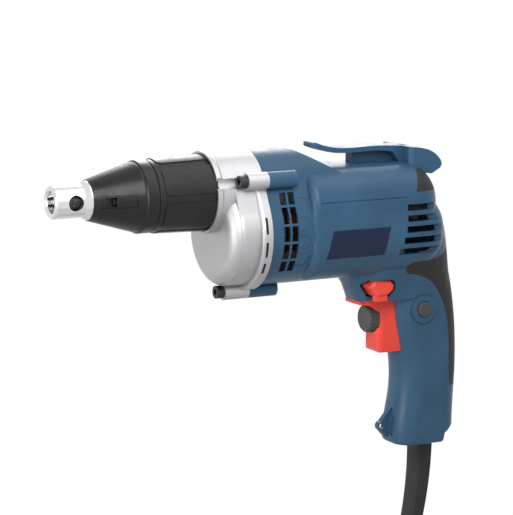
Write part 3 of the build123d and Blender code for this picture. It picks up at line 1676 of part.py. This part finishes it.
def coil_heading(turns):
    """Unit direction of the cord's middle line after that many turns."""
    if turns in (0, coil_turns):
        return Vector(0, 0, -1)
    return (coil_place(turns + 0.02) - coil_place(turns - 0.02)).normalized()


coil_exit = coil_place(coil_turns)
coil_end = coil_exit - Vector(0, 0, 2 * cord_radius)
with BuildPart() as cord_coil:
    with BuildLine() as coil_path:
        Line(lead_end, coil_start)
        for quarter in range(4 * coil_turns):
            here = quarter / 4
            onto = here + 0.25
            biarc(coil_place(here), coil_heading(here), coil_place(onto), coil_heading(onto))
        Line(coil_exit, coil_end)
    with BuildSketch(Plane(origin=lead_end, z_dir=(0, 0, -1))):
        Circle(cord_radius)
    sweep()
cord_coil.part.label = "cord_coil"
export_step(cord_coil.part, "parts/cord_coil.step")
coil_wire = coil_path.wire()
coil_length = coil_wire.length
samples = [coil_wire.position_at(i / 800) for i in range(801)]
spacing = coil_length / 800
nearest = min(
    (samples[i] - samples[j]).length
    for i in range(801)
    for j in range(i + int(60 / spacing), 801)
)
print("cord coil length", round(coil_length), "least gap to itself", round(nearest - 2 * cord_radius, 2))
print("cord coil volume share", round(cord_coil.part.volume / tube_volume(coil_length), 4))

# Strap round the bundle on its far side
tie_inner_x = coil_middle_x - coil_inner - 0.25 * coil_pitch
with BuildPart() as cord_tie:
    bundle = (turns_per_layer * coil_pitch + 1.0, coil_layers * coil_pitch + 0.6, tie_width)
    bundle_y = (coil_layers - 1) * coil_pitch / 2
    bundle_at = (tie_inner_x - coil_pitch * 3 / 4, bundle_y, coil_start.Z)
    with Locations(bundle_at):
        Box(bundle[0] + 2 * tie_thickness, bundle[1] + 2 * tie_thickness, tie_width)
        Box(bundle[0], bundle[1], tie_width, mode=Mode.SUBTRACT)
cord_tie.part.label = "cord_tie"
export_step(cord_tie.part, "parts/cord_tie.step")

# Straight tail, plug and pins
tail_end = coil_end - Vector(0, 0, tail_length)
with BuildPart() as cord_tail:
    with BuildSketch(Plane.XY.offset(tail_end.Z)):
        with Locations((coil_end.X, coil_end.Y)):
            Circle(cord_radius)
    extrude(amount=tail_length)
cord_tail.part.label = "cord_tail"
export_step(cord_tail.part, "parts/cord_tail.step")
face_z = tail_end.Z - plug_length
with BuildPart() as plug_body:
    for drop, wide, deep, corner in plug_levels:
        with BuildSketch(Plane.XY.offset(tail_end.Z - drop * plug_length)):
            with Locations((coil_end.X, coil_end.Y)):
                RectangleRounded(wide, deep, corner)
    loft()
plug_body.part.label = "plug_body"
export_step(plug_body.part, "parts/plug_body.step")
with BuildPart() as plug_pins:
    with BuildSketch(Plane.XY.offset(face_z)):
        with Locations((coil_end.X, coil_end.Y)):
            with GridLocations(plug_pin_spacing, 1, 2, 1):
                Circle(plug_pin_radius)
    extrude(amount=-plug_pin_length)
    fillet(plug_pins.faces().filter_by(Axis.Z).group_by(Axis.Z)[0].edges(), plug_pin_radius * 0.8)
plug_pins.part.label = "plug_pins"
export_step(plug_pins.part, "parts/plug_pins.step")
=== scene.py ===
"""Looks of the electric screwdriver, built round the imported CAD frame, in metres."""
import json
import math

import bmesh
import bpy
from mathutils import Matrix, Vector

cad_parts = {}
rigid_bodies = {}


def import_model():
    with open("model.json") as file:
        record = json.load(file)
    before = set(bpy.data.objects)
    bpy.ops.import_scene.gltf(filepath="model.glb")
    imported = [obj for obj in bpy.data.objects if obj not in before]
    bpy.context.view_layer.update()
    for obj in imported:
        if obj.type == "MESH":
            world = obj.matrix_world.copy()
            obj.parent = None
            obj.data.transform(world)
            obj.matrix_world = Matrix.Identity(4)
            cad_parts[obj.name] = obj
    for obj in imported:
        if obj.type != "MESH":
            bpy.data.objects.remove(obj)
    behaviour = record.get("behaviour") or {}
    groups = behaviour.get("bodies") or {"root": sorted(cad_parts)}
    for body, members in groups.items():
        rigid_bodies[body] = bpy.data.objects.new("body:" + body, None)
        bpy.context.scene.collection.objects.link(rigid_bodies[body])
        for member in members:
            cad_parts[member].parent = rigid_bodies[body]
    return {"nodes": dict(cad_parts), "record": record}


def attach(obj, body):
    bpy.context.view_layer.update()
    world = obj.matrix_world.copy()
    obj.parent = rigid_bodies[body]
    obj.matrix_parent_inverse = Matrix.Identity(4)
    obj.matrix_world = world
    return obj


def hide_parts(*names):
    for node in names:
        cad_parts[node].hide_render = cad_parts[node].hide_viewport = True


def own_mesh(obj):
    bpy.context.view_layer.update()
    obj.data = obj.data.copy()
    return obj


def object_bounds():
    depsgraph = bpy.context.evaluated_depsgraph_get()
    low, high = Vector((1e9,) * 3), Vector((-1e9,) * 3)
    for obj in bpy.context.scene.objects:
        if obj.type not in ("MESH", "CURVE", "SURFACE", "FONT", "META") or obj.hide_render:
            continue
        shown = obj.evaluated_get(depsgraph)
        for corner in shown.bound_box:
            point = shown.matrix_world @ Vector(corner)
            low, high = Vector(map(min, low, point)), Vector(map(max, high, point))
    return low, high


for stray in list(bpy.data.objects):
    bpy.data.objects.remove(stray)
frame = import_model()
cad_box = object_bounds()
nodes = frame["nodes"]
MM = 0.001

# Camera at the photograph's place
IMAGE_WIDTH = 513
FOCAL_PIXELS = 2295.0
AZIMUTH = math.radians(-27.34)
ELEVATION = math.radians(9.40)
DISTANCE = 1.5
TARGET = Vector((-0.1258, 0.0, 0.07959))
SENSOR_WIDTH = 36.0
VIEW_END = 20.0

lens = bpy.data.cameras.new("camera")
lens.sensor_fit = "HORIZONTAL"
lens.sensor_width = SENSOR_WIDTH
lens.lens = FOCAL_PIXELS * SENSOR_WIDTH / IMAGE_WIDTH
lens.clip_end = VIEW_END
camera = bpy.data.objects.new("camera", lens)
back = Vector(
    (
        math.sin(AZIMUTH) * math.cos(ELEVATION),
        -math.cos(AZIMUTH) * math.cos(ELEVATION),
        math.sin(ELEVATION),
    )
)
camera.location = TARGET + back * DISTANCE
camera.rotation_euler = (-back).to_track_quat("-Z", "Y").to_euler()
bpy.context.scene.collection.objects.link(camera)
bpy.context.scene.camera = camera


# Materials: noise scales per metre, noise detail, the part of a noise's range in use,
# strength of the bumps, and how far the roughness strays to either side
PLASTIC_CLOUDS = 38.0
PLASTIC_GLOSS = 120.0
METAL_CLOUDS = 30.0
SPECK_DETAIL = 2.0
MARK_DETAIL = 4.0
BAND = (0.3, 0.7)
PLASTIC_BUMP = 0.35
METAL_BUMP = 0.3
PLASTIC_STRAY = (-0.05, 0.06)
METAL_STRAY = (-0.06, 0.08)


class Graph:
    """A material's nodes, with short calls for the ones used here."""

    def __init__(self, name):
        self.material = bpy.data.materials.new(name)
        self.material.use_nodes = True
        self.tree = self.material.node_tree
        self.shader = self.tree.nodes["Principled BSDF"]
        self.place = self.add("ShaderNodeTexCoord").outputs["Object"]

    def add(self, kind, **inputs):
        node = self.tree.nodes.new(kind)
        for key, value in inputs.items():
            self.feed(node.inputs[key], value)
        return node

    def feed(self, socket, value):
        if isinstance(value, bpy.types.NodeSocket):
            self.tree.links.new(value, socket)
        else:
            socket.default_value = value

    def noise(self, scale, detail=3.0, place=None):
        node = self.add("ShaderNodeTexNoise", Scale=scale, Detail=detail)
        self.feed(node.inputs["Vector"], place or self.place)
        return node.outputs["Fac"]

    def stretch(self, factors):
        node = self.add("ShaderNodeMapping", Scale=factors)
        self.feed(node.inputs["Vector"], self.place)
        return node.outputs["Vector"]

    def ramp(self, value, low, high, start=0.0, end=1.0):
        node = self.add("ShaderNodeMapRange")
        limits = {"From Min": low, "From Max": high, "To Min": start, "To Max": end}
        for key, number in limits.items():
            node.inputs[key].default_value = number
        self.feed(node.inputs["Value"], value)
        return node.outputs["Result"]

    def mix(self, share, first, second):
        node = self.add("ShaderNodeMix")
        node.data_type = "RGBA"
        self.feed(node.inputs["Factor"], share)
        color_inputs = [socket for socket in node.inputs if socket.type == "RGBA"]
        self.feed(color_inputs[0], first)
        self.feed(color_inputs[1], second)
        return next(socket for socket in node.outputs if socket.type == "RGBA")

    def bump(self, height, strength, distance):
        node = self.add("ShaderNodeBump", Strength=strength, Distance=distance)
        self.feed(node.inputs["Height"], height)
        self.feed(self.shader.inputs["Normal"], node.outputs["Normal"])

    def finish(self, **inputs):
        for key, value in inputs.items():
            self.feed(self.shader.inputs[key.replace("_", " ")], value)
        return self.material


def shade(color, factor):
    """Colour with its lightness changed by a factor, and full alpha."""
    return tuple(min(1.0, c * factor) for c in color) + (1.0,)


def moulded(name, color, roughness, shine=0.3, spread=0.12, grain=2600.0, depth=0.00003):
    """Moulded plastic or rubber: faint flow clouds, fine grain, uneven gloss."""
    graph = Graph(name)
    clouds = graph.ramp(graph.noise(PLASTIC_CLOUDS), *BAND)
    specks = graph.noise(grain, SPECK_DETAIL)
    tone = graph.mix(clouds, shade(color, 1 - spread), shade(color, 1 + spread))
    graph.bump(specks, PLASTIC_BUMP, depth)
    limits = [roughness + stray for stray in PLASTIC_STRAY]
    gloss = graph.ramp(graph.noise(PLASTIC_GLOSS), *BAND, *limits)
    return graph.finish(Base_Color=tone, Roughness=gloss, Specular_IOR_Level=shine)


def metal(name, color, roughness, stretch=(1, 1, 1), spread=0.08, grain=900.0, depth=0.00002):
    """Bare metal: tone drift, tool marks or grain, uneven gloss."""
    graph = Graph(name)
    place = graph.stretch(stretch)
    marks = graph.noise(grain, MARK_DETAIL, place)
    clouds = graph.ramp(graph.noise(METAL_CLOUDS), *BAND)
    tone = graph.mix(clouds, shade(color, 1 - spread), shade(color, 1 + spread))
    graph.bump(marks, METAL_BUMP, depth)
    limits = [roughness + stray for stray in METAL_STRAY]
    gloss = graph.ramp(marks, *BAND, *limits)
    return graph.finish(Base_Color=tone, Roughness=gloss, Metallic=1.0)


finishes = {
    "nose_chrome": metal("nose_chrome", (0.70, 0.70, 0.71), 0.16, (1, 30, 30), 0.05, 500.0, 0.00001),
    "black_plastic": moulded("black_plastic", (0.011, 0.011, 0.012), 0.32, 0.26),
    "cast_case": metal("cast_case", (0.45, 0.45, 0.46), 0.50, (1, 1, 1), 0.05, 1500.0, 0.00004),
    "dark_rubber": moulded("dark_rubber", (0.026, 0.024, 0.024), 0.55, 0.22, 0.18, 3200.0, 0.00005),
    # Dark steel: on the bit socket it stands as painted shade for the shaded hole in the nose
    "black_steel": metal("black_steel", (0.05, 0.05, 0.055), 0.42),
    "steel": metal("steel", (0.58, 0.58, 0.60), 0.28, (30, 1, 1)),
    "core_steel": metal("core_steel", (0.28, 0.28, 0.30), 0.45, (60, 1, 1)),
    "bronze": metal("bronze", (0.55, 0.38, 0.18), 0.4),
    # Copper windings: base colour darkened far below bare copper as painted shade for the dim motor
    # seen through the vents
    "copper": metal("copper", (0.07, 0.030, 0.016), 0.5, (1, 40, 40)),
    "blue_plastic": moulded("blue_plastic", (0.028, 0.082, 0.150), 0.38, 0.28),
    "red_plastic": moulded("red_plastic", (0.82, 0.068, 0.046), 0.36),
    "grey_plastic": moulded("grey_plastic", (0.060, 0.058, 0.060), 0.45),
}
for part in frame["record"]["subparts"]:
    surface = nodes[part["node"]].data
    surface.materials.clear()
    surface.materials.append(finishes[part["material_slot"]])
# The bit socket takes the dark steel as painted shade for the shaded hole in the nose, unlike the
# other steel pieces
nodes["bit_holder"].data.materials[0] = finishes["black_steel"]
label_finish = moulded("label_navy", (0.008, 0.016, 0.045), 0.30, 0.2, 0.08, 1800.0, 0.00001)


def piece(name, mesh, slot, body="body"):
    """New visible piece that rides on a body and takes a slot's finish."""
    thing = bpy.data.objects.new(name, mesh)
    bpy.context.scene.collection.objects.link(thing)
    if not mesh.materials:
        mesh.materials.append(finishes[slot])
    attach(thing, body)
    return thing


def skin(mesh, rings):
    """Band of four-sided faces from each ring of points to the next."""
    for low, high in zip(rings, rings[1:]):
        for i in range(len(low)):
            j = (i + 1) % len(low)
            mesh.faces.new((low[i], low[j], high[j], high[i]))


def cap(mesh, rings):
    """Flat ends on a skin, with only the skin shaded smooth."""
    mesh.faces.new(rings[0])
    mesh.faces.new(rings[-1])
    bmesh.ops.recalc_face_normals(mesh, faces=mesh.faces)
    for face in mesh.faces:
        face.smooth = len(face.verts) == 4


def handed_over(mesh, name):
    """The finished mesh as Blender data."""
    data = bpy.data.meshes.new(name)
    mesh.to_mesh(data)
    mesh.free()
    return data


# Cord: out of the boot, down, round the put-away coil and on to the plug, in millimetres
CORD_RADIUS = 4.0
LEAD_START = Vector((-5.922, 0.0, -113.738))
LEAD_KNEE = Vector((-13.304, 0.0, -146.927))
LEAD_END = Vector((-13.304, 0.0, -180.927))
COIL_PITCH = 8.7
COIL_INNER = 36.0
COIL_LAYERS = 4
TURNS_PER_LAYER = 2
POINTS_PER_TURN = 16
CLIMB_TURNS = 0.25
TAIL_LENGTH = 40.0
COIL_OUTER = COIL_INNER + COIL_PITCH * TURNS_PER_LAYER
COIL_TURNS = COIL_LAYERS * TURNS_PER_LAYER
COIL_START = LEAD_END - Vector((0, 0, 2 * CORD_RADIUS))
COIL_MIDDLE_X = COIL_START.x - COIL_OUTER
SPREAD = 1 / math.cos(math.pi / POINTS_PER_TURN)


def coil_place(turns):
    """Point of the coil's middle line after that many turns, in millimetres."""
    phase = turns % (2 * TURNS_PER_LAYER)
    radius = (COIL_INNER + COIL_PITCH * abs(phase - TURNS_PER_LAYER)) * SPREAD
    layer = round(turns / TURNS_PER_LAYER)
    climb = min(1, max(-1, (turns - layer * TURNS_PER_LAYER) / CLIMB_TURNS))
    step = layer - 0.5 + climb / 2
    step = min(COIL_LAYERS - 1, max(0, step))
    angle = 2 * math.pi * turns
    across = COIL_MIDDLE_X + radius * math.cos(angle)
    return Vector((across, COIL_PITCH * step, COIL_START.z - radius * math.sin(angle)))


route = [LEAD_START, LEAD_KNEE, LEAD_END]
route += [coil_place(i / POINTS_PER_TURN) for i in range(1, COIL_TURNS * POINTS_PER_TURN)]
last_layer_y = COIL_PITCH * (COIL_LAYERS - 1)
tail_start = Vector((COIL_START.x, last_layer_y, COIL_START.z - 2 * CORD_RADIUS))
route += [tail_start, tail_start - Vector((0, 0, TAIL_LENGTH))]
line = bpy.data.curves.new("cord", "CURVE")
line.dimensions = "3D"
line.bevel_depth = CORD_RADIUS * MM
line.bevel_resolution = 5
line.use_fill_caps = True
spline = line.splines.new("NURBS")
spline.points.add(len(route) - 1)
for point, spot in zip(spline.points, route):
    point.co = (spot.x * MM, spot.y * MM, spot.z * MM, 1.0)
spline.order_u = 3
spline.use_endpoint_u = True
spline.resolution_u = 6
cord = piece("cord", line, "dark_rubber")
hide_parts("cord_lead", "cord_coil", "cord_tail")

# Cord boot: square sleeve that tapers along its bend, with rounded corners and a rolled end
BOOT_X = 0.4
FOOT_Z = -56.2
BOOT_BEND = 265.0
BOOT_LENGTH = 58.0
BOOT_TOP_HALF = (5.7, 8.4)
BOOT_END_HALF = (4.8, 7.5)
BOOT_CORNER = 1.8
BOOT_ROLL = 0.7
BOOT_ROLL_START = 0.965
BOOT_STATIONS = 30
BOOT_INNER_STATIONS = 2
BOOT_CORNER_STEPS = 5


def boot_section(share):
    """Half width and half depth of the boot at that share of its length."""
    roll = max(0.0, (share - BOOT_ROLL_START) / (1 - BOOT_ROLL_START))
    shrink = BOOT_ROLL * (1 - math.sqrt(max(0.0, 1 - roll * roll)))
    halves = zip(BOOT_TOP_HALF, BOOT_END_HALF)
    return [top + (end - top) * share - shrink for top, end in halves]


def boot_mesh():
    mesh = bmesh.new()
    rings = []
    for station in range(-BOOT_INNER_STATIONS, BOOT_STATIONS + 1):
        share = station / BOOT_STATIONS
        lean = max(0.0, share) * BOOT_LENGTH / BOOT_BEND
        bend_x = BOOT_X - BOOT_BEND * (1 - math.cos(lean))
        bend_z = FOOT_Z - BOOT_BEND * math.sin(lean) + max(0.0, -share) * BOOT_LENGTH
        spot = Vector((bend_x, 0, bend_z))
        across = Vector((math.cos(lean), 0, -math.sin(lean)))
        wide, deep = boot_section(max(0.0, share))
        ring = []
        for quarter, (sx, sy) in enumerate(((1, 1), (-1, 1), (-1, -1), (1, -1))):
            for step in range(BOOT_CORNER_STEPS + 1):
                angle = math.pi / 2 * (quarter + step / BOOT_CORNER_STEPS)
                x = sx * (wide - BOOT_CORNER) + BOOT_CORNER * math.cos(angle)
                y = sy * (deep - BOOT_CORNER) + BOOT_CORNER * math.sin(angle)
                ring.append(mesh.verts.new((spot + across * x + Vector((0, y, 0))) * MM))
        rings.append(ring)
    skin(mesh, rings)
    cap(mesh, rings)
    return handed_over(mesh, "boot")


boot = piece("boot", boot_mesh(), "dark_rubber")
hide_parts("cord_boot")


# Rubber inlay: the CAD skin with rolled rims, in metres
WELD = 0.00001
FLAT_ANGLE = math.radians(1.0)
RIM_ANGLE = math.radians(45)
RIM_ROUND = 0.0003
RIM_SEGMENTS = 2
RIM_PROFILE = 0.6


def inlay_mesh():
    mesh = bmesh.new()
    mesh.from_mesh(nodes["soft_grip"].data)
    bmesh.ops.remove_doubles(mesh, verts=mesh.verts, dist=WELD)
    bmesh.ops.dissolve_limit(mesh, angle_limit=FLAT_ANGLE, verts=mesh.verts, edges=mesh.edges)
    inner = [edge for edge in mesh.edges if len(edge.link_faces) == 2]
    sharp = [edge for edge in inner if edge.calc_face_angle() > RIM_ANGLE]
    bmesh.ops.bevel(
        mesh,
        geom=sharp,
        offset=RIM_ROUND,
        segments=RIM_SEGMENTS,
        profile=RIM_PROFILE,
        affect="EDGES",
        clamp_overlap=True,
    )
    bmesh.ops.triangulate(mesh, faces=mesh.faces)
    for face in mesh.faces:
        face.smooth = True
    return handed_over(mesh, "grip_inlay")


inlay = piece("grip_inlay", inlay_mesh(), "dark_rubber")
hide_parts("soft_grip")

# Clutch spring: wound wire round the spindle, built at one fixed length; the real spring shortens
# towards the gear as the spindle is pushed in
SPINDLE_Z = 125.0
SPRING_FRONT_X = -162.8
SPRING_REAR_X = -155.4
SPRING_RADIUS = 7.6
SPRING_WIRE = 0.45
SPRING_TURNS = 5
SPRING_STEPS = 24
SPRING_SIDES = 8


def spring_mesh():
    mesh = bmesh.new()
    rings = []
    for step in range(SPRING_TURNS * SPRING_STEPS + 1):
        angle = 2 * math.pi * step / SPRING_STEPS
        share = step / (SPRING_TURNS * SPRING_STEPS)
        out = Vector((0, math.cos(angle), math.sin(angle)))
        run = SPRING_REAR_X - SPRING_FRONT_X - 2 * SPRING_WIRE
        x = SPRING_FRONT_X + SPRING_WIRE + run * share
        spot = Vector((x, 0, SPINDLE_Z)) + out * SPRING_RADIUS
        ring = []
        for side in range(SPRING_SIDES):
            turn = 2 * math.pi * side / SPRING_SIDES
            rim = out * math.cos(turn) + Vector((1, 0, 0)) * math.sin(turn)
            ring.append(mesh.verts.new((spot + rim * SPRING_WIRE) * MM))
        rings.append(ring)
    skin(mesh, rings)
    cap(mesh, rings)
    return handed_over(mesh, "clutch_coil")


spring = piece("clutch_coil", spring_mesh(), "steel", "gear_unit")
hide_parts("clutch_spring")
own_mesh(spring)

# Bare label plate on the left side, slanted at both ends and bent round the body's lower corner
LABEL_TOP = (-89.0, -46.0, 99.4)
LABEL_FOOT = (-93.6, -50.5, 81.0)
LABEL_STAND = 0.45
LABEL_SINK = 0.4
LABEL_EDGE = 0.2
LABEL_BEVEL = 0.6
SIDE_Y = -37.5
FLAT_LOW_Z = 89.4
CORNER_RADIUS = 25.0
LABEL_ROWS = 10


def label_mesh():
    mesh = bmesh.new()
    rings = []
    sides = []
    for inset, stand in ((0.0, -LABEL_SINK), (0.0, LABEL_EDGE), (LABEL_BEVEL, LABEL_STAND)):
        left, right = [], []
        for row in range(LABEL_ROWS + 1):
            share = row / LABEL_ROWS
            z = LABEL_TOP[2] - inset + (LABEL_FOOT[2] - LABEL_TOP[2] + 2 * inset) * share
            drop = max(0.0, FLAT_LOW_Z - z)
            reach = math.sqrt(CORNER_RADIUS**2 - drop**2)
            out = Vector((0, -reach, -drop)) / CORNER_RADIUS
            for side, ends in ((left, 0), (right, 1)):
                slant = LABEL_TOP[ends] + (LABEL_FOOT[ends] - LABEL_TOP[ends]) * share
                inward = inset if ends == 0 else -inset
                spot = Vector((slant + inward, SIDE_Y + CORNER_RADIUS - reach, z))
                side.append(mesh.verts.new((spot + out * stand) * MM))
        sides.append((left, right))
        rings.append(left + right[::-1])
    skin(mesh, rings)
    for left, right in (sides[0], sides[-1]):
        for row in range(LABEL_ROWS):
            mesh.faces.new((left[row], left[row + 1], right[row + 1], right[row]))
    bmesh.ops.recalc_face_normals(mesh, faces=mesh.faces)
    data = handed_over(mesh, "label_plate")
    data.materials.append(label_finish)
    return data


piece("label_plate", label_mesh(), "blue_plastic")

# Floor, backdrop and light: a pale floor with the part's shadow, fading to the white backdrop
NEAR_FLOOR = 0.42
FAR_FLOOR = 0.68
FLOOR_DROP = 0.002
FLOOR_REACH = 6.0
FLOOR_TONE = (0.9, 0.9, 0.9, 1)
FLOOR_ROUGHNESS = 0.9
WHITE = (1, 1, 1, 1)
BACKDROP_STRENGTH = 1.0
SKY_STRENGTH = 0.22


def seen_rays(tree):
    """1 for the rays that see the white backdrop (camera, glossy, transmission), else 0."""
    paths = tree.nodes.new("ShaderNodeLightPath")
    seen = paths.outputs["Is Camera Ray"]
    for ray in ("Is Glossy Ray", "Is Transmission Ray"):
        either = tree.nodes.new("ShaderNodeMath")
        either.operation = "MAXIMUM"
        tree.links.new(seen, either.inputs[0])
        tree.links.new(paths.outputs[ray], either.inputs[1])
        seen = either.outputs[0]
    return seen


white = Graph("studio_white")
glow = white.add("ShaderNodeEmission", Color=WHITE, Strength=BACKDROP_STRENGTH)
away = white.add("ShaderNodeVectorMath")
away.operation = "DISTANCE"
white.feed(away.inputs[0], white.place)
away.inputs[1].default_value = (TARGET.x, TARGET.y, cad_box[0][2])
share = white.add("ShaderNodeMath")
share.operation = "MULTIPLY"
white.feed(share.inputs[0], seen_rays(white.tree))
white.feed(share.inputs[1], white.ramp(away.outputs["Value"], NEAR_FLOOR, FAR_FLOOR))
blend = white.add("ShaderNodeMixShader")
white.feed(blend.inputs[0], share.outputs[0])
white.feed(blend.inputs[1], white.shader.outputs[0])
white.feed(blend.inputs[2], glow.outputs[0])
white.feed(white.tree.nodes["Material Output"].inputs["Surface"], blend.outputs[0])
white.finish(Base_Color=FLOOR_TONE, Roughness=FLOOR_ROUGHNESS)
floor_z = cad_box[0][2] - FLOOR_DROP
corners = ((-1, -1), (1, -1), (1, 1), (-1, 1))
floor_corners = [(x * FLOOR_REACH, y * FLOOR_REACH, floor_z) for x, y in corners]
floor_mesh = bpy.data.meshes.new("floor")
floor_mesh.from_pydata(floor_corners, [], [(0, 1, 2, 3)])
floor_mesh.materials.append(white.material)
floor = bpy.data.objects.new("floor", floor_mesh)
bpy.context.scene.collection.objects.link(floor)

world = bpy.data.worlds.new("world")
bpy.context.scene.world = world
world.use_nodes = True
sky = world.node_tree
base = sky.nodes["Background"]
base.inputs["Color"].default_value = WHITE
base.inputs["Strength"].default_value = SKY_STRENGTH
bright = sky.nodes.new("ShaderNodeBackground")
bright.inputs["Color"].default_value = WHITE
bright.inputs["Strength"].default_value = BACKDROP_STRENGTH
pick = sky.nodes.new("ShaderNodeMixShader")
sky.links.new(seen_rays(sky), pick.inputs[0])
sky.links.new(base.outputs[0], pick.inputs[1])
sky.links.new(bright.outputs[0], pick.inputs[2])
sky.links.new(pick.outputs[0], sky.nodes["World Output"].inputs["Surface"])

# Lamps by name, place, size and watts, all turned to one point of the body
LIT = Vector((-0.09, -0.03, 0.12))
LAMPS = (
    ("key", (-0.22, -0.36, 0.38), 0.3, 2.0),
    ("top", (0.20, -0.20, 0.85), 0.5, 1.4),
    ("front", (-1.4, -0.35, 0.20), 0.6, 7.0),
    ("rim", (0.5, 1.1, 0.8), 0.8, 12.0),
)
for name, spot, size, power in LAMPS:
    data = bpy.data.lights.new(name, "AREA")
    data.size = size
    data.energy = power
    lamp = bpy.data.objects.new(name, data)
    lamp.location = spot
    lamp.rotation_euler = (Vector(spot) - LIT).to_track_quat("Z", "Y").to_euler()
    bpy.context.scene.collection.objects.link(lamp)

bpy.context.scene.view_settings.view_transform = "Standard"
